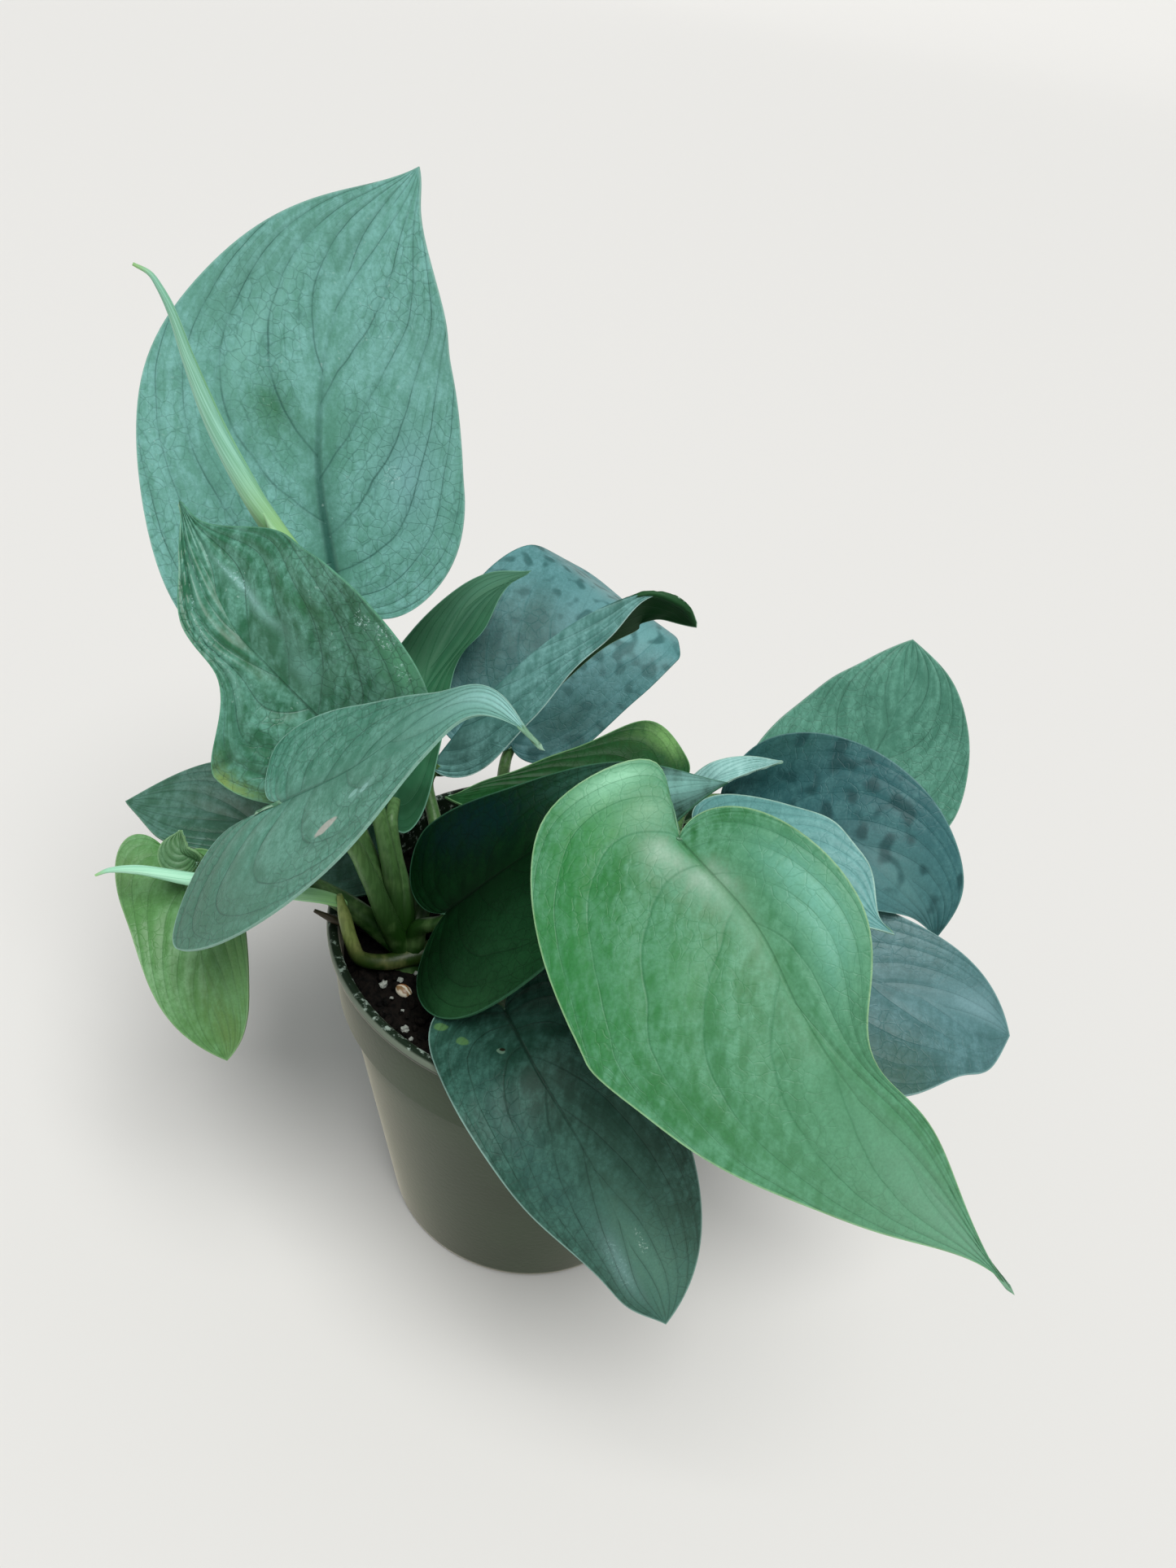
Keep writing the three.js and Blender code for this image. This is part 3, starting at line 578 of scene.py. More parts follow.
# %% Upper face finish
def blade_finish(name, look, marks):
    """The upper face: green tissue, its bloom, veins, net and margin, and the leaf's own tints and marks, some of which
    are painted shade and painted highlights.
    """
    f = Finish(name)
    u, s, _ = f.map("UVMap")
    rib, margin, _ = f.map("reach")
    v = f.scaled(u, 2.0, -1.0)
    place = f.place()
    x, y, z = f.split(place)

    # Veins, their net, the midrib and the margin
    w = vein_measure(f, v, s, place)
    away = f.band(rib, 1.0, 7.0)
    broken = f.band(f.noise(place, 90.0), 0.30, 0.60)
    veins = f.times(lines_along(f, w, VEINS, 0.04), f.scaled(broken, 0.7, 0.3))
    halo = lines_along(f, w, VEINS, 0.25)
    fine = f.times(lines_along(f, w, 3 * VEINS, 0.08), broken, away)
    bent = [f.scaled(f.noise(place, scale, detail=1.0), 0.0022, part)
            for part, scale in ((x, 300.0), (y, 310.0), (z, 320.0))]
    net = f.band(f.cell_edges(f.join(*bent), 430.0), 0.07, 0.0)
    net = f.times(net, away, f.band(f.noise(place, 38.0), 0.25, 0.52))
    slim = f.scaled(s, -0.85, 1.0)
    midrib = f.band(f.math("DIVIDE", rib, f.times(slim, look.get("rib_width", 0.7))), 1.0, 0.2)
    midrib = f.times(midrib, f.band(s, 0.9, 0.35))
    edge_line = f.band(margin, 0.4, 0.1)

    # The silvery bloom: streaks between the veins, clouds, small mottles and upright patches
    side = f.math("GREATER_THAN", v, 0.0)
    streak = f.noise(f.join(f.times(w, 24.0), f.times(v, 3.2), side), 1.0)
    cloud = f.noise(place, look.get("cloud", 60.0))
    mottle = f.noise(place, 330.0, roughness=0.6)
    patches = f.noise(f.stretched(place, 520.0, 230.0, 230.0), 1.0, roughness=0.6)
    silver = 0.0
    for part, share in ((streak, 0.22), (cloud, 0.28), (mottle, 0.12), (patches, 0.38)):
        silver = f.scaled(part, share, silver)
    calm = look.get("calm", 0.0)
    silver = f.scaled(f.band(silver, 0.41, 0.59), 1 - calm, 0.6 * calm)
    speckle = f.band(f.noise(place, 900.0, detail=3.0, roughness=0.7), 0.38, 0.60)
    silver = f.times(silver, f.scaled(speckle, 0.40, 0.60))

    # Colour, from the green tissue up to what lies on it
    tint_and_painted_light = f.own("tint_and_painted_light")
    colour = f.mix(tint_and_painted_light["Alpha"], paint(look["base"]), tint_and_painted_light["Color"])
    colour = f.coat(colour, look["silver"], silver, f.scaled(tint_and_painted_light["Alpha"], -0.8, 1.0))
    spot = f.band(f.noise(place, look.get("spot", 150.0), detail=0.0), 0.52, 0.74)
    colour = f.coat(colour, look["deep"], spot, look.get("spots", 0.0))
    near_rib = f.times(f.band(rib, look.get("rib_shade", 4.0), 0.0), f.band(s, 0.9, 0.1))
    colour = f.coat(colour, look["deep"], near_rib, 0.5)
    dark = look.get("contrast", 0.45)
    for lines, strength in ((halo, 0.3 * dark), (fine, 0.6 * dark), (net, look.get("net", 0.25)), (veins, dark),
                            (midrib, look.get("rib_contrast", 0.8))):
        colour = f.coat(colour, look["vein"], lines, strength)
    colour = f.coat(colour, look.get("margin", "#a9c9b6"), edge_line, 0.6)
    fleck = f.band(f.noise(place, 1100.0, detail=1.0), 0.70, 0.76)
    colour = f.coat(colour, "#c4dcd6", fleck, f.band(cloud, 0.5, 0.65), look.get("flecks", 0.0))
    broken_up = f.band(f.noise(place, 1900.0, detail=3.0, roughness=0.7), 0.54, 0.66)
    for where_s, where_v, size_s, size_v, mark, strength, solid in marks:
        off = [f.times(f.math("SUBTRACT", at, where), 1 / size)
               for at, where, size in ((s, where_s, size_s), (v, where_v, size_v))]
        reach = f.math("SQRT", f.math("ADD", *[f.times(part, part) for part in off]))
        spread = f.band(f.math("ADD", reach, mottle), 1.7, 1.3)
        colour = f.coat(colour, mark, spread, 1.0 if solid else broken_up, strength)
    grain = f.mix(f.noise(place, 2200.0, detail=1.0), paint("#000000"), paint("#ffffff"))
    colour = f.mix(0.2, colour, grain, blend="SOFT_LIGHT")

    height = f.scaled(midrib, -1.0, f.times(silver, 0.1))
    for lines, rise in ((halo, -0.3), (veins, -0.3), (net, -0.2), (mottle, 0.4)):
        height = f.scaled(lines, rise, height)
    f.bump(height, 0.0004, 0.5)
    f.set(Base_Color=colour, Roughness=f.scaled(cloud, 0.25, look.get("rough", 0.34)),
          Specular_IOR_Level=look.get("gloss", 0.35))
    return f.material


print("recipe for the upper face ready")

# %% Underside finish
def underside_finish(name, look):
    """Duller than the upper face, with the veins slightly raised."""
    f = Finish(name)
    u, s, _ = f.map("UVMap")
    rib, margin, _ = f.map("reach")
    place = f.place()
    w = vein_measure(f, f.scaled(u, 2.0, -1.0), s, place)
    veins = lines_along(f, w, VEINS, 0.06)
    midrib = f.band(rib, 1.2, 0.4)
    cloud = f.noise(place, 90.0, detail=3.0)
    low, high = look.get("under", ("#497a5d", "#588768"))
    pale = look.get("under_vein", "#86ad92")
    colour = f.mix(f.band(cloud, 0.35, 0.65), paint(low), paint(high))
    tint_and_painted_light = f.own("tint_and_painted_light")
    colour = f.mix(f.times(tint_and_painted_light["Alpha"], look.get("under_tint", 0.0)), colour, tint_and_painted_light["Color"])
    colour = f.coat(colour, pale, veins, 0.35)
    colour = f.coat(colour, pale, midrib, 0.5)
    colour = f.coat(colour, look.get("under_margin", "#8fb49a"), f.band(margin, 0.45, 0.1))
    f.bump(f.scaled(cloud, 0.5, f.math("ADD", veins, midrib)), 0.0003, 0.5)
    f.set(Base_Color=colour, Roughness=0.6, Specular_IOR_Level=0.2)
    return f.material


print("recipe for the underside ready")

# %% The leaves' colours
LOOKS = {
    "leaf_tall": dict(
        base="#56927e", silver="#82bdb6", deep="#3a765c", vein="#1f5348", contrast=0.5, net=0.3,
        rib_width=2.2, rib_shade=7.0, flecks=0.2, margin="#8fbcae", calm=0.4),
    "leaf_crinkled": dict(
        base="#195c39", silver="#649e8b", deep="#164c30", vein="#103a28", rib_contrast=0.5, net=0.35,
        cloud=90.0, rough=0.3, gloss=0.4, flecks=0.2, margin="#5f9a7c", calm=0.2, contrast=0.38),
    "leaf_folded": dict(
        base="#36755d", silver="#6ca392", deep="#3e6e5e", vein="#265040", net=0.4, contrast=0.5,
        rib_contrast=0.4, margin="#8fb8a8", calm=0.4),
    "leaf_left_silver": dict(
        base="#345f4a", silver="#527c6e", deep="#2c5243", vein="#264a3b", margin="#5f8a74"),
    "leaf_hanging": dict(
        base="#4d8045", silver="#699b66", deep="#3a6832", vein="#356030", net=0.15, contrast=0.3,
        margin="#86a878"),
    "leaf_turned": dict(
        base="#235239", silver="#406e56", deep="#2b5741", vein="#2b5741", under=("#174a2b", "#296140"),
        under_tint=1.0, under_margin="#5f9078", under_vein="#3a6c4e"),
    "leaf_back": dict(
        base="#477a79", silver="#66989b", deep="#295755", vein="#3b6c6a", spots=0.75, net=0.0, gloss=0.2,
        contrast=0.12, rib_contrast=0.15, margin="#3b6a60", cloud=50.0, spot=310.0, calm=0.5),
    "leaf_arching": dict(
        base="#4a7f77", silver="#74a9a4", deep="#36605a", vein="#33605c", contrast=0.35,
        under=("#0c3810", "#1a4722"), under_tint=1.0, under_vein="#2b5a33", margin="#b4cfc6"),
    "leaf_back_young": dict(
        base="#143d19", silver="#1c4c26", deep="#10330f", vein="#10330f", net=0.15, contrast=0.25,
        under=("#5c9150", "#75a668"), under_vein="#86b878", gloss=0.15, margin="#7fae78"),
    # Painted shade: the middle leaf is coloured nearly black for the shadow that the leaves above cast on it.
    "leaf_middle": dict(
        base="#001c05", silver="#052a0f", deep="#001405", vein="#001304", net=0.3, contrast=0.25,
        margin="#3f6f53", gloss=0.08, rough=0.45),
    "leaf_front": dict(
        base="#2a6f39", silver="#5f9c79", deep="#35783f", vein="#2c6c44", net=0.15, contrast=0.3,
        rib_contrast=0.15, rib_shade=1.5, margin="#98bd8c", cloud=45.0),
    "leaf_back_right": dict(
        base="#3f7863", silver="#64a08b", deep="#31614d", vein="#2b5a47", net=0.3, margin="#86b09c",
        calm=0.3),
    "leaf_right_blue": dict(
        base="#27585b", silver="#487878", deep="#153c3d", vein="#1d4547", spots=0.75, net=0.1, contrast=0.2,
        gloss=0.2, spot=260.0, margin="#6b9590", calm=0.4),
    "leaf_inner": dict(base="#93c6bf", silver="#acdcd6", deep="#6ea29b", vein="#6ea29b", net=0.1),
    "leaf_right_silver": dict(
        base="#558e8a", silver="#76afaa", deep="#427472", vein="#427472", net=0.1, contrast=0.25, calm=0.5),
    "leaf_right_low": dict(
        base="#376260", silver="#5c8588", deep="#2a5250", vein="#34595a", net=0.1, contrast=0.25,
        margin="#86a8a4", spot=200.0, spots=0.3, calm=0.5),
    # Painted shade: the dark base of this leaf stands for the front leaf's shadow on its upper part.
    "leaf_over_rim": dict(
        base="#123829", silver="#416f62", deep="#0f3324", vein="#0c2a1d", net=0.25, rough=0.42, gloss=0.25,
        margin="#8fb0a6", calm=0.25),
    "leaf_small": dict(
        base="#446d3f", silver="#5c8761", deep="#35633a", vein="#35633a", net=0.1, contrast=0.15,
        margin="#7da574", calm=0.5),
}
print(len(LOOKS), "looks")

# %% What one leaf alone shows, with painted shade and painted highlights on some leaves: edge share, width, their spreads, colour and strength
TINTS_AND_PAINTED_LIGHT = {
    "leaf_tall": [
        (0.61, -0.3, 0.05, 0.17, "#33704b", 1.0), (0.69, -0.57, 0.1, 0.06, "#8cc9bb", 0.5),
        (0.72, -0.83, 0.08, 0.15, "#568878", 0.5), (0.88, -0.25, 0.05, 0.15, "#457f6b", 0.6),
        (0.46, 0.63, 0.08, 0.2, "#8cbcc4", 0.5), (0.62, 0.1, 0.12, 0.08, "#4f8e74", 0.6),
        (0.4, 0.02, 0.16, 0.09, "#2f6557", 0.8)],
    "leaf_crinkled": [
        (0.41, -1.0, 0.05, 0.12, "#7c9a4e", 1.0), (0.35, 0.92, 0.05, 0.2, "#5aa67c", 0.9),
        (0.74, 0.35, 0.12, 0.05, "#8dbdb6", 0.9), (0.5, 0.22, 0.07, 0.1, "#6fa89a", 0.7),
        (0.62, -0.72, 0.12, 0.07, "#74a899", 0.7), (0.62, -0.28, 0.1, 0.08, "#1f5a30", 0.7),
        (0.55, 0.62, 0.1, 0.08, "#1d6436", 0.7), (0.84, -0.55, 0.08, 0.1, "#74a899", 0.6),
        (0.45, -0.9, 0.012, 0.3, "#17452c", 0.6)],
    "leaf_folded": [
        # On the folded leaf the first tint is a painted highlight on its upturned tip, and the second and third are
        # painted shade on the lower lobe, which faces away from the light.
        (0.91, -0.4, 0.14, 1.5, "#9ccfca", 0.8), (0.35, 0.9, 0.2, 0.4, "#44705a", 0.6),
        (0.25, 0.85, 0.2, 0.35, "#3a6650", 0.8), (0.62, 0.38, 0.03, 0.06, "#8fbfb6", 0.6)],
    "leaf_hanging": [
        (0.89, -0.5, 0.15, 1.0, "#5f7e40", 0.6), (0.31, 0.9, 0.1, 0.4, "#5f8050", 0.6),
        # The last tint is painted light: it lightens the right side of the hanging leaf where that side lies in shade.
        (0.57, -0.8, 0.15, 0.4, "#6fa060", 0.8)],
    "leaf_middle": [
        (0.52, 0.85, 0.1, 0.35, "#2b6a3c", 0.8), (0.34, 0.95, 0.1, 0.22, "#24542f", 0.8),
        (0.92, -0.3, 0.12, 1.2, "#7cb0a6", 0.9), (0.68, -0.8, 0.06, 0.3, "#2f6050", 0.6),
        (0.48, -0.75, 0.12, 0.4, "#06262b", 0.7), (0.44, 0.55, 0.14, 0.35, "#1d4c2b", 0.7)],
    "leaf_back": [
        (0.42, -0.45, 0.1, 0.6, "#1d4a42", 0.9), (0.8, -0.07, 0.1, 0.6, "#76a4a4", 0.6),
        (0.58, 0.7, 0.09, 0.3, "#74a7a6", 0.7), (0.3, 0.4, 0.1, 0.6, "#28554e", 0.9),
        (0.55, 0.0, 0.1, 0.25, "#386461", 0.8), (0.56, -0.3, 0.09, 0.3, "#28554e", 0.9)],
    # On the front leaf the pale tint at edge share 0.3 on the midrib is a painted highlight on the hump by the notch,
    # and the last, dark tint is painted shade in the hollow beside the notch.
    "leaf_front": [
        (0.75, 0.2, 0.22, 0.9, "#5b9172", 0.6), (0.34, 0.83, 0.14, 0.3, "#2b7a3a", 0.7),
        (0.2, 0.63, 0.07, 0.25, "#348640", 0.7), (0.14, 0.86, 0.05, 0.14, "#9ad8b2", 0.9),
        (0.3, 0.0, 0.07, 0.2, "#a2bfab", 0.85), (0.13, 0.48, 0.06, 0.18, "#8fbd9b", 0.7),
        (0.22, 0.22, 0.06, 0.14, "#a6c4ae", 0.8), (0.4, 0.0, 0.1, 0.08, "#86b296", 0.6),
        (0.43, -0.63, 0.12, 0.3, "#7dc0ac", 0.8), (0.6, -0.9, 0.1, 0.3, "#3f7555", 0.7),
        (0.57, 0.77, 0.06, 0.12, "#2f7038", 0.5), (0.9, 0.3, 0.15, 1.5, "#73a088", 0.6),
        (0.43, 0.4, 0.07, 0.22, "#3f8550", 0.6), (0.06, 0.28, 0.035, 0.18, "#2f6a44", 0.85)],
    "leaf_over_rim": [
        # Painted shade on the leaf over the rim: its first tint lightens the lower end, which lies out of the front
        # leaf's shadow, and the next two darken the upper part in that shadow.
        (0.87, -0.3, 0.14, 1.0, "#5f8f7c", 0.7), (0.3, -0.37, 0.08, 0.4, "#1c4637", 0.6),
        (0.6, -0.45, 0.14, 0.25, "#234f3f", 0.6), (0.6, 0.6, 0.2, 0.3, "#37625f", 0.4),
        (0.84, 0.5, 0.08, 0.25, "#6f9591", 0.7)],
    "leaf_right_blue": [
        (0.8, 0.3, 0.12, 0.8, "#5b8582", 0.7), (0.38, -0.57, 0.1, 0.3, "#173f3e", 0.6),
        (0.38, -0.9, 0.08, 0.25, "#245048", 0.8)],
    # On the lower right leaf the second, pale tint is a painted highlight.
    "leaf_right_low": [(0.63, 0.85, 0.11, 0.4, "#1f4a38", 0.95), (0.88, -0.47, 0.1, 0.5, "#7ea3a8", 0.7)],
    "leaf_arching": [
        # On the arching leaf the first two tints are painted shade on the tip, which bends down away from the light.
        (0.95, 0.0, 0.11, 1.8, "#0f3b19", 1.0), (0.8, -0.9, 0.08, 0.35, "#0f3b19", 1.0),
        (0.3, 0.4, 0.12, 1.0, "#30524b", 0.7)],
    "leaf_turned": [(0.7, 0.0, 0.15, 1.5, "#2d6847", 0.6), (0.95, 0.0, 0.15, 1.5, "#4b7e66", 0.8)],
    "leaf_back_young": [(0.34, 0.88, 0.1, 0.25, "#6f9f5c", 1.0)],
}
print(sum(map(len, TINTS_AND_PAINTED_LIGHT.values())), "tints")

# %% Marks with an edge, some of them painted highlights: the same values, then whether the mark is solid or broken up
MARKS_AND_PAINTED_HIGHLIGHTS = {
    "leaf_tall": [(0.47, 0.52, 0.02, 0.06, "#b9dcd8", 0.6, False)],
    "leaf_over_rim": [
        (0.31, 0.87, 0.014, 0.075, "#5d8848", 0.6, True), (0.36, 0.63, 0.014, 0.065, "#5d8848", 0.6, True),
        (0.405, 0.25, 0.01, 0.04, "#7fa088", 0.5, True), (0.4, 0.23, 0.006, 0.03, "#1c1a0c", 1.0, True),
        (0.83, -0.25, 0.025, 0.08, "#b4cfc4", 0.7, False), (0.84, 0.5, 0.06, 0.22, "#86aba6", 0.35, False)],
    "leaf_folded": [
        (0.545, 0.485, 0.022, 0.045, "#b4b0a8", 0.8, True), (0.59, 0.33, 0.01, 0.035, "#93c3ba", 0.6, True),
        (0.62, 0.38, 0.01, 0.035, "#93c3ba", 0.6, True)],
    "leaf_crinkled": [
        # All five marks of the crinkled leaf are painted highlights: glints along its right edge and on its ridges.
        (0.42, 0.87, 0.014, 0.07, "#c2e4df", 0.7, False), (0.39, 0.92, 0.014, 0.08, "#c2e4df", 0.7, False),
        (0.35, 0.87, 0.016, 0.06, "#b4dcd4", 0.7, False), (0.78, 0.36, 0.06, 0.05, "#a4cfcb", 0.6, False),
        (0.72, -0.68, 0.07, 0.05, "#a4cfcb", 0.5, False)],
}
print(sum(map(len, MARKS_AND_PAINTED_HIGHLIGHTS.values())), "marks")

for name, leaf in LEAVES.items():
    look = LOOKS[name]
    finishes = (blade_finish(name + "_face", look, MARKS_AND_PAINTED_HIGHLIGHTS.get(name, ())), underside_finish(name + "_underside", look))
    blade = add_blade(name, leaf, finishes)
under = sum(face.material_index for face in blade.data.polygons)
print("blades have", len(blade.data.polygons), "faces each,", under, "of them on the underside")

# %% [markdown]
# ## Stalks
# A stalk is thick where it sheaths its shoot and slim at the leaf, where it ends inside the blade just past the
# notch. A curve with its own radius at each point, turned into a mesh, is how such a tube is made by hand. The
# stalks of one shoot grew together, so they are joined into one piece with the shoot's stem.

# %% Stalk tubes
STALK_RADII = (2.6, 1.7, 1.3)
TUBE_ROUNDNESS = 4
STALK_SPREAD = 1.5
STALK_RISE = 3
SOIL_LEVEL = 78
BEHIND_NOTCH = 4
SOLID_BLADE, CLEARANCE = 0.8, 0.3
BLADE_ROOM = SOLID_BLADE + CLEARANCE + STALK_RADII[-1]
END_UNDER_FACE, END_PAST_NOTCH = 1.7, 1.5
CROWN_RADIUS, CROWN_DEPTH, CROWN_HEIGHT = 6, 12, 5.5
SHOOTS = {"left": (-33, -11), "back": (-8, 18), "right": (12, -10)}
CARRIED = {
    "left": ["leaf_tall", "leaf_crinkled", "leaf_folded", "leaf_left_silver", "leaf_hanging", "leaf_turned",
             "leaf_arching", "leaf_middle", "leaf_small"],
    "back": ["leaf_back", "leaf_back_young", "leaf_back_right"],
    "right": ["leaf_front", "leaf_right_blue", "leaf_inner", "leaf_right_silver", "leaf_right_low",
              "leaf_over_rim"],
}


def add_tube(name, points, radii, steps=44):
    """A round tube along a smooth line through points, its radii spread evenly along it."""
    line = smooth_line(points, even=False)
    share = np.linspace(0, 1, steps)
    places = place_on(line, share * line[0][-1])
    widths = np.interp(share, np.linspace(0, 1, len(radii)), radii)
    bpy.ops.curve.primitive_nurbs_path_add()
    tube = bpy.context.object
    tube.name = name
    path = tube.data
    path.splines.clear()
    path.dimensions = "3D"
    path.bevel_depth = MM
    path.bevel_resolution = TUBE_ROUNDNESS
    path.use_fill_caps = True
    spline = path.splines.new("POLY")
    spline.points.add(steps - 1)
    for point, place, width in zip(spline.points, places, widths):
        point.co = (*(place * MM), 1)
        point.radius = width
    bpy.ops.object.convert(target="MESH")
    bpy.ops.object.shade_smooth_by_angle(angle=math.radians(60))
    tube.select_set(False)
    return tube


def stalk_points(shoot, leaf):
    """From the foot at the shoot up the stalk, round behind the notch and into the blade's thickness."""
    x, y = SHOOTS[shoot]
    line = smooth_line(leaf["rib"])
    tangent = direction_on(line, np.array([0.0]))[0]
    notch = place_on(line, np.array([0.0]))[0]
    face = np.array(leaf["face"], float)
    facing = unit(face - tangent * face.dot(tangent))
    first = np.array(leaf["stalk"][0], float)
    away = unit(first[:2] - (x, y)) * STALK_SPREAD
    foot = np.array([x + away[0], y + away[1], SOIL_LEVEL + STALK_RISE])
    behind = notch - tangent * BEHIND_NOTCH - facing * BLADE_ROOM
    bends = [] if leaf.get("straight") else [behind]
    return [foot, *leaf["stalk"], *bends, notch - facing * END_UNDER_FACE + tangent * END_PAST_NOTCH]


def joined(pieces, name):
    """One object made of several."""
    for piece in pieces:
        piece.select_set(True)
    bpy.context.view_layer.objects.active = pieces[0]
    bpy.ops.object.join()
    whole = bpy.context.object
    whole.name = whole.data.name = name
    whole.select_set(False)
    return whole


def stalk_finish(name, low, high, dry, shaded_up_to=0.086, shade_gone_from=0.118):
    """Smooth green skin: painted shade darkens it at the foot, and higher up it is paler, with fine lines along it."""
    f = Finish(name)
    place = f.place()
    # Painted shade: the colour goes from the dark low one at the foot to the high one as the stalk rises out of the
    # leaves' shade.
    climb = f.band(f.split(place)[2], shaded_up_to, shade_gone_from)
    cloud = f.noise(place, 160.0, detail=3.0)
    grain = f.noise(f.stretched(place, 1400.0, 1400.0, 90.0), 1.0)
    colour = f.mix(climb, paint(low), paint(high))
    colour = f.coat(colour, dry, f.band(cloud, 0.45, 0.7), 0.35)
    colour = f.coat(colour, low, f.band(grain, 0.42, 0.62), 0.3)
    f.bump(grain, 0.0002, 0.35)
    f.set(Base_Color=colour, Roughness=0.42, Specular_IOR_Level=0.3)
    return f.material


# The dark low colour of the stalk skin is painted shade at the foot of the stalks, under the leaves.
stalk_skin = stalk_finish("stalk_skin", "#17390c", "#5f8a50", "#7b9f62")

for shoot, names in CARRIED.items():
    tubes = [add_tube(name + "_stalk", stalk_points(shoot, LEAVES[name]), STALK_RADII) for name in names]
    x, y = SHOOTS[shoot]
    crown = [(x, y, SOIL_LEVEL + z) for z in (-CROWN_DEPTH, -2, CROWN_HEIGHT)]
    tubes.append(add_tube("stem", crown, (CROWN_RADIUS, CROWN_RADIUS, 1.5), steps=24))
    whole = joined(tubes, "shoot_" + shoot + "_stalks")
    whole.data.materials.append(stalk_skin)
    settle(whole, "shoot_" + shoot)
    print(whole.name, len(whole.data.polygons), "faces")

# %% [markdown]
# ## Young leaves that are still rolled up
# A new leaf of this plant comes out rolled like a paper cone, with the outer edge running round it as a long spiral
# line. A grid rolled up more than once, with a slow twist and its radius growing a little with each turn, gives the
# same overlap and line. The upright one leans up to five millimetres further left than its solid, as the photograph
# shows it.

# %% Rolled leaves
ROLL_ACROSS, ROLL_ALONG = 56, 90
ROLL_TURNS = 1.6
ROLL_THICKNESS = 0.35
ROLL_TIGHTER, FULL_ROLL = 0.3, 1.5
TO_THE_VIEWER = (0.05, -1.0, 0.1)


def add_roll(name, points, radii, twist, start, finish):
    """A sheet rolled up round a smooth line: twist in turns over its length, start in degrees."""
    line = smooth_line(points, even=False)

    def bend(s, v):
        tangent = direction_on(line, s * line[0][-1])
        centre = place_on(line, s * line[0][-1])
        sideways = unit(np.cross(tangent, TO_THE_VIEWER))
        upwards = np.cross(sideways, tangent)
        share = (v + 1) / 2
        angle = math.radians(start) + (share * ROLL_TURNS + twist * s) * 2 * math.pi
        radius = np.interp(s, np.linspace(0, 1, len(radii)), radii)
        radius = radius * (1 - ROLL_TIGHTER * (1 - share) * np.clip(radius / FULL_ROLL, 0.3, 1))
        spoke = sideways * np.cos(angle)[:, None] + upwards * np.sin(angle)[:, None]
        return (centre + spoke * radius[:, None],)
    piece, _ = bent_grid(name, ROLL_ACROSS, ROLL_ALONG, bend)
    thicken(piece, ROLL_THICKNESS, offset=1)
    bpy.ops.object.shade_smooth_by_angle(angle=math.radians(55))
    piece.data.materials.append(finish)
    settle(piece)


def rolled_finish(name, base, pale, fresh, foot):
    """Pale green with fine lines along it, fresher at the foot, at the tip and along the free edge."""
    f = Finish(name)
    u, s, _ = f.map("UVMap")
    lines = f.noise(f.join(f.times(u, 60.0), f.times(s, 3.0), 0.0), 1.0, detail=3.0)
    colour = f.mix(f.band(lines, 0.35, 0.65), paint(base), paint(pale))
    colour = f.coat(colour, fresh, f.band(s, foot, 0.0))
    colour = f.coat(colour, fresh, f.band(s, 0.93, 1.0))
    colour = f.coat(colour, "#7fb88c", f.band(u, 0.985, 1.0))
    f.bump(lines, 0.0002, 0.5)
    f.set(Base_Color=colour, Roughness=0.45)
    return f.material


upright = [(-64, 11, 159), (-69.8, 12.1, 165.2), (-75.3, 12, 173.8), (-80.2, 11.7, 183.7), (-83.9, 10.9, 194.7),
           (-86.3, 10.2, 203.2), (-87.9, 9.7, 206.9), (-89.3, 9.4, 209), (-92, 9, 210.2)]
low = [(-46, -13.5, 93), (-51, -17, 97), (-57, -20.5, 100), (-76, -23, 101.5), (-87, -23, 101.5),
       (-93, -23, 100), (-96, -23, 98)]
add_roll("rolled_leaf_upright", upright, (2.2, 2.5, 2.3, 2.0, 1.7, 1.2, 0.8, 0.3), 0.35, 60,
         rolled_finish("upright_roll_skin", "#79b595", "#9cd4bd", "#90bf78", 0.45))
add_roll("rolled_leaf_low", low, (1.3, 1.7, 1.8, 1.7, 1.4, 1.0, 0.25), 0.4, 200,
         rolled_finish("low_roll_skin", "#8fcdaa", "#b0e5c6", "#97cf86", 0.5))
print("two rolled leaves made")

# %% [markdown]
# ## What goes with them
# The upright rolled leaf has a stalk of its own with a small bract where the two meet. An old sheath and a dried
# scale at the foot are left over from earlier leaves. Each is a tube whose radii change along it, because at this
# size a sheet with two faces would look the same.

# %% Stalk, bract, old sheath and dried scale
stem_points = [(-36, -10, 84), (-41, -9, 98), (-49, -5, 115), (-56, 4, 137), (-62, 10, 154), (-65, 11, 161)]
roll_stem = add_tube("rolled_leaf_stalk", stem_points, (2.4, 1.9, 1.7, 1.5, 1.4, 1.8))
bract = add_tube("bract", [(-61.5, 8.8, 156.5), (-64.6, 8.8, 160.5), (-67.9, 9, 164.4), (-70.2, 8.9, 168.6)],
                 (2.1, 1.7, 1.0, 0.15), steps=20)
sheath_points = [(-25, -9, 81), (-31, -12.5, 80.6), (-37, -16.2, 80.6), (-42, -18.4, 82.8),
                 (-43.8, -18.6, 87), (-45.6, -17.6, 92.5), (-47.3, -16.4, 98)]
sheath = add_tube("old_sheath", sheath_points, (3.0, 2.6, 2.0, 1.8, 1.6, 1.5, 1.4, 0.6))
scale = add_tube("dried_scale", [(-45, -15.5, 89.5), (-48.5, -14.5, 88.8), (-53, -15, 91)], (1.0, 0.9, 0.4))
bract_skin = stalk_finish("bract_skin", "#86b878", "#a5d6a4", "#b4deb2")
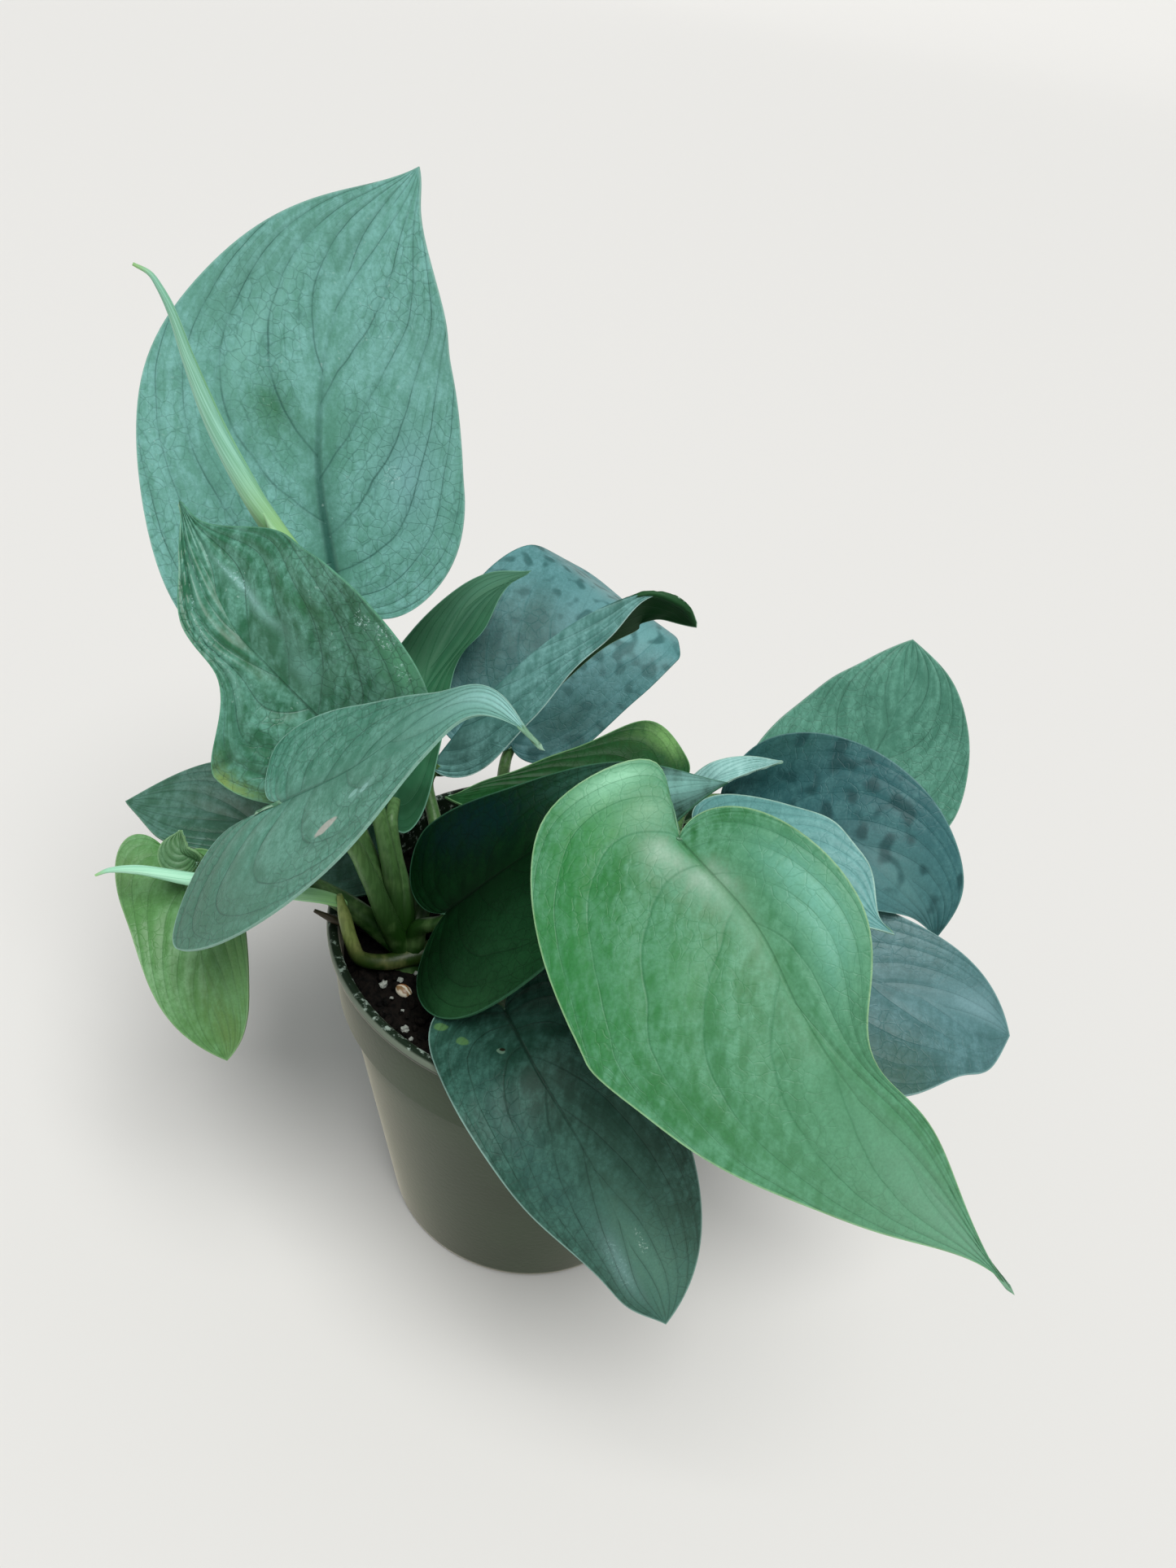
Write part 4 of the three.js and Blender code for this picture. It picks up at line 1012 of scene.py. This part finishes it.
# The old sheath's dark foot is painted shade as well.
old_skin = stalk_finish("old_sheath_skin", "#22380f", "#7f8f4e", "#9c9a64", shaded_up_to=0.082, shade_gone_from=0.089)
dry_skin = stalk_finish("dried_scale_skin", "#3a3222", "#4a3f2b", "#6b5c40")
for piece, skin in ((roll_stem, stalk_skin), (bract, bract_skin), (sheath, old_skin), (scale, dry_skin)):
    piece.data.materials.append(skin)
    settle(piece)
print("stalk, bract, sheath and scale made")

# %% [markdown]
# ## The pot
# The pot is one thin wall of moulded plastic: a slightly conical body, a wider collar and a rolled rim. A ring of
# edges is extruded and resized ring by ring, down the inside as well, which is how a turned shape is drawn by hand,
# and the six drain holes are cut last.

# %% Pot wall
POT_SIDES = 128
WALL = 1.4
FOOT_RADIUS, FOOT_ROUND = 34.5, 2.6
RIM_RADIUS, POT_HEIGHT, RIM_HEIGHT = 52.5, 88, 3
COLLAR_FOOT, COLLAR_RADIUS, BODY_TOP = 70, 49.8, 47.9
DRAIN_HOLES, DRAIN_RADIUS, DRAIN_CIRCLE = 6, 4, FOOT_RADIUS - 5
DRILL_SIDES = 32


def rings_at(radius, height, *steps):
    """Rings given by how far out and how far up they lie from a radius and a height."""
    return [(radius + out, height + up) for out, up in steps]


WALL_RINGS = [
    *rings_at(FOOT_RADIUS, 0, (-FOOT_ROUND, 0), (-1.3, 0.35), (-0.4, 1.2), (0, FOOT_ROUND)),
    *rings_at(BODY_TOP, COLLAR_FOOT, (-0.15, -1.6), (0, -1), (0.5, -0.6)),
    *rings_at(COLLAR_RADIUS, COLLAR_FOOT, (-0.5, 0.1), (0, 0.6), (0.15, 1.6)),
    *rings_at(RIM_RADIUS, POT_HEIGHT, (-1.1, -RIM_HEIGHT), (-0.5, -2.7), (-0.1, -2.2), (0, -1.4), (-0.1, -0.6),
              (-0.5, -0.15), (-1.1, 0), (-1.8, -0.15), (-2.3, -0.6), (-2.6, -2)),
    (COLLAR_RADIUS - WALL, COLLAR_FOOT + 1.4), (BODY_TOP - WALL, COLLAR_FOOT - 0.4),
    (FOOT_RADIUS - WALL, WALL + 1.6), (FOOT_RADIUS - 2 * WALL, WALL),
]


def add_turned(name, rings, sides):
    """A closed turned shape: a disc, then one ring of faces for each radius and height, then the last disc."""
    radius, height = rings[0]
    bpy.ops.mesh.primitive_circle_add(vertices=sides, radius=radius * MM, location=(0, 0, height * MM))
    piece = bpy.context.object
    piece.name = piece.data.name = name
    bpy.ops.object.transform_apply(location=True, rotation=True, scale=True)
    bpy.ops.object.mode_set(mode="EDIT")
    bpy.ops.mesh.select_all(action="SELECT")
    for (before, low), (after, high) in zip(rings, rings[1:]):
        bpy.ops.mesh.extrude_edges_move(TRANSFORM_OT_translate={"value": (0, 0, (high - low) * MM)})
        bpy.ops.transform.resize(value=(after / before, after / before, 1), center_override=(0, 0, 0))
    bpy.ops.mesh.edge_face_add()
    bpy.ops.mesh.select_all(action="DESELECT")
    bpy.ops.mesh.select_mode(type="EDGE")
    bpy.ops.object.mode_set(mode="OBJECT")
    for edge in piece.data.edges:
        ends = [piece.data.vertices[i].co for i in edge.vertices]
        edge.select = all(abs(p.z - height * MM) < 1e-6 and abs(p.xy.length - radius * MM) < 1e-5 for p in ends)
    bpy.ops.object.mode_set(mode="EDIT")
    bpy.ops.mesh.edge_face_add()
    bpy.ops.mesh.select_all(action="SELECT")
    bpy.ops.mesh.normals_make_consistent(inside=False)
    bpy.ops.object.mode_set(mode="OBJECT")
    return piece


pot = add_turned("nursery_pot", WALL_RINGS, POT_SIDES)
pot.select_set(False)
drills = []
for k in range(DRAIN_HOLES):
    angle = (k + 0.5) / DRAIN_HOLES * 2 * math.pi
    spot = (DRAIN_CIRCLE * MM * math.cos(angle), DRAIN_CIRCLE * MM * math.sin(angle), 0)
    bpy.ops.mesh.primitive_cylinder_add(vertices=DRILL_SIDES, radius=DRAIN_RADIUS * MM, depth=8 * WALL * MM,
                                        location=spot)
    drills.append(bpy.context.object)
drill = joined(drills, "drills")
bpy.context.view_layer.objects.active = pot
bpy.ops.object.modifier_add(type="BOOLEAN")
cut = pot.modifiers[-1]
cut.object = drill
cut.operation = "DIFFERENCE"
bpy.ops.object.modifier_apply(modifier=cut.name)
bpy.data.objects.remove(drill)
pot.select_set(True)
bpy.ops.object.shade_smooth_by_angle(angle=math.radians(35))
settle(pot, "pot")
print("pot", len(pot.data.polygons), "faces")

# %% Pot finish
f = Finish("pot_plastic")
place = f.place()
x, y, z = f.split(place)
radius = f.math("SQRT", f.math("ADD", f.times(x, x), f.times(y, y)))
wall_middle = f.scaled(z, 0.1, 0.0421)
inside = f.times(f.math("LESS_THAN", radius, wall_middle), f.band(z, 0.074, 0.079))
rim_top = f.times(f.band(z, 0.0866, 0.0872), f.band(radius, 0.0523, 0.0520))
inside = f.math("MAXIMUM", inside, rim_top)
scuffs = f.band(f.noise(place, 420.0, detail=6.0, roughness=0.7), 0.53, 0.62)
patch = f.noise(place, 28.0, detail=3.0)
colour = f.mix(f.band(patch, 0.35, 0.65), paint("#27361f"), paint("#32422c"))
# Painted shade: the inside of the pot above the mix and the top of the rim are darkened; the pale scuffs laid over them
# are real marks.
colour = f.coat(colour, "#0f1c13", inside, 0.85)
# Painted shade: the whole lip above 84.6 mm is darkened so that it does not look lit from above.
colour = f.coat(colour, "#1d281d", f.band(z, 0.0846, 0.0853), 0.6)
colour = f.coat(colour, "#9fb0a4", scuffs, inside, 0.75)
# A painted highlight: a thin pale line round the outer edge of the lip.
colour = f.coat(colour, "#8a9686", f.band(z, 0.0862, 0.0867), f.band(radius, 0.0519, 0.0523), 0.5)
f.bump(f.noise(place, 900.0, detail=3.0), 0.0001, 0.3)
f.set(Base_Color=colour, Roughness=f.scaled(patch, 0.2, 0.24), Specular_IOR_Level=0.15,
      Sheen_Weight=0.5, Sheen_Roughness=0.25, Sheen_Tint=paint("#efe6d0"))
pot.data.materials.append(f.material)
print("pot finished")

# %% [markdown]
# ## The potting mix
# Potting mix is dark, damp and crumbly, with white grains of perlite in it. The body of the mix is
# one turned block whose top is pushed up and down by noise. Crumbs and grains are a few small lumps that are copied,
# turned and scaled at random, with the draw seeded so that every run scatters them alike.

# %% Block of mix
FIT = 0.32
MIX_SIDES, TOP_RINGS = 144, 44
WALL_AT_SOIL = 3.5
MIX_RADIUS = RIM_RADIUS - WALL_AT_SOIL - FIT
LUMP_SIZE, LUMP_HEIGHT, LUMP_MIDDLE = 4, 4.5, 0.55
MIX_RINGS = [(FOOT_RADIUS - 2 * WALL - FIT, WALL + 0.3), (FOOT_RADIUS - WALL - FIT, WALL + 1.9),
             (BODY_TOP - WALL - FIT, COLLAR_FOOT - 0.2), (COLLAR_RADIUS - WALL - FIT, COLLAR_FOOT + 1.6),
             (MIX_RADIUS, SOIL_LEVEL)]
MIX_RINGS += [(MIX_RADIUS * share, SOIL_LEVEL) for share in np.linspace(0.98, 0.02, TOP_RINGS)]

mix = add_turned("potting_mix", MIX_RINGS, MIX_SIDES)
lump = bpy.data.textures.new("lumps", "CLOUDS")
lump.noise_scale = LUMP_SIZE * MM
lump.noise_depth = 3
top = mix.vertex_groups.new(name="top")
top.add([p.index for p in mix.data.vertices if p.co.z > (SOIL_LEVEL - 0.01) * MM], 1.0, "REPLACE")
bpy.ops.object.modifier_add(type="DISPLACE")
push = mix.modifiers[-1]
push.texture = lump
push.texture_coords = "LOCAL"
push.direction = "Z"
push.strength = LUMP_HEIGHT * MM
push.mid_level = LUMP_MIDDLE
push.vertex_group = "top"
bpy.ops.object.modifier_apply(modifier=push.name)
bpy.ops.object.shade_smooth_by_angle(angle=math.radians(50))
settle(mix, "soil")

f = Finish("damp_mix")
grain = f.noise(f.place(), 700.0, detail=5.0, roughness=0.65)
colour = f.mix(f.band(grain, 0.35, 0.65), paint("#040403"), paint("#191410"))
f.bump(grain, 0.0008, 0.8)
f.set(Base_Color=colour, Roughness=0.9, Specular_IOR_Level=0.15)
damp_mix = f.material
mix.data.materials.append(damp_mix)
print("mix", len(mix.data.polygons), "faces")

# %% Crumbs and perlite
CRUMBS, GRAINS = 1500, 26
STREWN, FLATTENED, RAISED = 0.97, 0.7, 0.3
SEEN_GRAINS = [(-36.1, -21.1, 78.8, 1.2, (0.4, 0.8, 1.2)), (-32.9, -18.8, 78.7, 0.7, (0.3, 0.2, 0.9)),
               (-28.8, -32.4, 78.8, 0.9, (0.9, 0.5, 0.1)), (-33.5, -24.5, 78.8, 0.5, (0.2, 0.9, 0.4)),
               (-30.5, -27.5, 78.8, 0.45, (0.7, 0.1, 0.3)), (-27.0, -34.8, 78.9, 0.5, (0.1, 0.3, 0.6)),
               (-34.5, -29.0, 78.8, 0.4, (1.2, 0.3, 0.2))]
draw = random.Random(7)


def add_scatter(name, count, sizes, material, keep=(), detail=1):
    """Small lumps strewn over the mix and those to keep (place, size, turn), joined into one piece."""
    bits = []
    for _ in range(count):
        reach = MIX_RADIUS * STREWN * math.sqrt(draw.random())
        angle = draw.random() * 2 * math.pi
        size = draw.uniform(*sizes)
        turn = [draw.uniform(0, 3) for _ in range(3)]
        bits.append((reach * math.cos(angle), reach * math.sin(angle), SOIL_LEVEL + RAISED * size, size, turn))
    bits += keep
    bpy.ops.mesh.primitive_ico_sphere_add(subdivisions=detail, radius=MM)
    pattern = bpy.context.object
    corners = read_all(pattern.data.vertices, "co", 3)
    faces = [list(p.vertices) for p in pattern.data.polygons]
    bpy.data.objects.remove(pattern)
    places, polygons = [], []
    for x, y, z, size, turn in bits:
        spin = np.array(Matrix.Rotation(turn[0], 3, "X") @ Matrix.Rotation(turn[1], 3, "Y")
                        @ Matrix.Rotation(turn[2], 3, "Z"))
        uneven = np.array([[draw.uniform(0.75, 1.25)] for _ in corners])
        shape = corners * uneven * (size, size * draw.uniform(0.6, 1), size * FLATTENED)
        polygons += [[i + len(places) * len(corners) for i in face] for face in faces]
        places.append(shape @ spin.T + np.array((x, y, z)) * MM)
    mesh = bpy.data.meshes.new(name)
    mesh.from_pydata([tuple(p) for block in places for p in block], [], polygons)
    piece = bpy.data.objects.new(name, mesh)
    bpy.context.scene.collection.objects.link(piece)
    piece.data.materials.append(material)
    settle(piece)
    print(name, len(bits), "bits")


f = Finish("perlite")
grain = f.noise(f.place(), 900.0, detail=3.0)
f.set(Base_Color=f.mix(grain, paint("#59605a"), paint("#c3c8be")), Roughness=0.8)
f.bump(grain, 0.0003, 0.6)
add_scatter("mix_crumbs", CRUMBS, (0.5, 1.5), damp_mix)
add_scatter("perlite_grains", GRAINS, (0.3, 0.7), f.material, keep=SEEN_GRAINS, detail=2)

# %% [markdown]
# ## A bit of shell
# A striped bit of shell lies on the mix near the front. It could be sculpted, but it is less than four
# millimetres wide, so a flattened ball will do: its bowed stripes and its brown end are what is seen.

# %% The bit of shell
SHELL_SIZE, SHELL_TURN = (1.9, 1.35, 0.9), (0.5, 0.2, -0.3)
SHELL_PLACE = (-31.4, -22.4, 79.3)

bpy.ops.mesh.primitive_uv_sphere_add(segments=28, ring_count=16, radius=MM)
shell = bpy.context.object
shell.name = shell.data.name = "shell_bit"
shell.scale = SHELL_SIZE
shell.rotation_euler = SHELL_TURN
shell.location = Vector(SHELL_PLACE) * MM
bpy.ops.object.transform_apply()
bpy.ops.object.shade_smooth()

f = Finish("striped_shell")
place = f.place()
x, y, z = f.split(place)
bow = f.scaled(x, 500.0, f.times(f.noise(place, 500.0), 1.6))
stripes = f.band(f.math("PINGPONG", f.scaled(y, 900.0, bow), 0.5), 0.15, 0.35)
colour = f.mix(stripes, paint("#d9d2bd"), paint("#8a6a44"))
f.set(Base_Color=f.coat(colour, "#b06a35", f.band(y, -0.0222, -0.0212)), Roughness=0.35)
shell.data.materials.append(f.material)
settle(shell)
print("shell bit made")
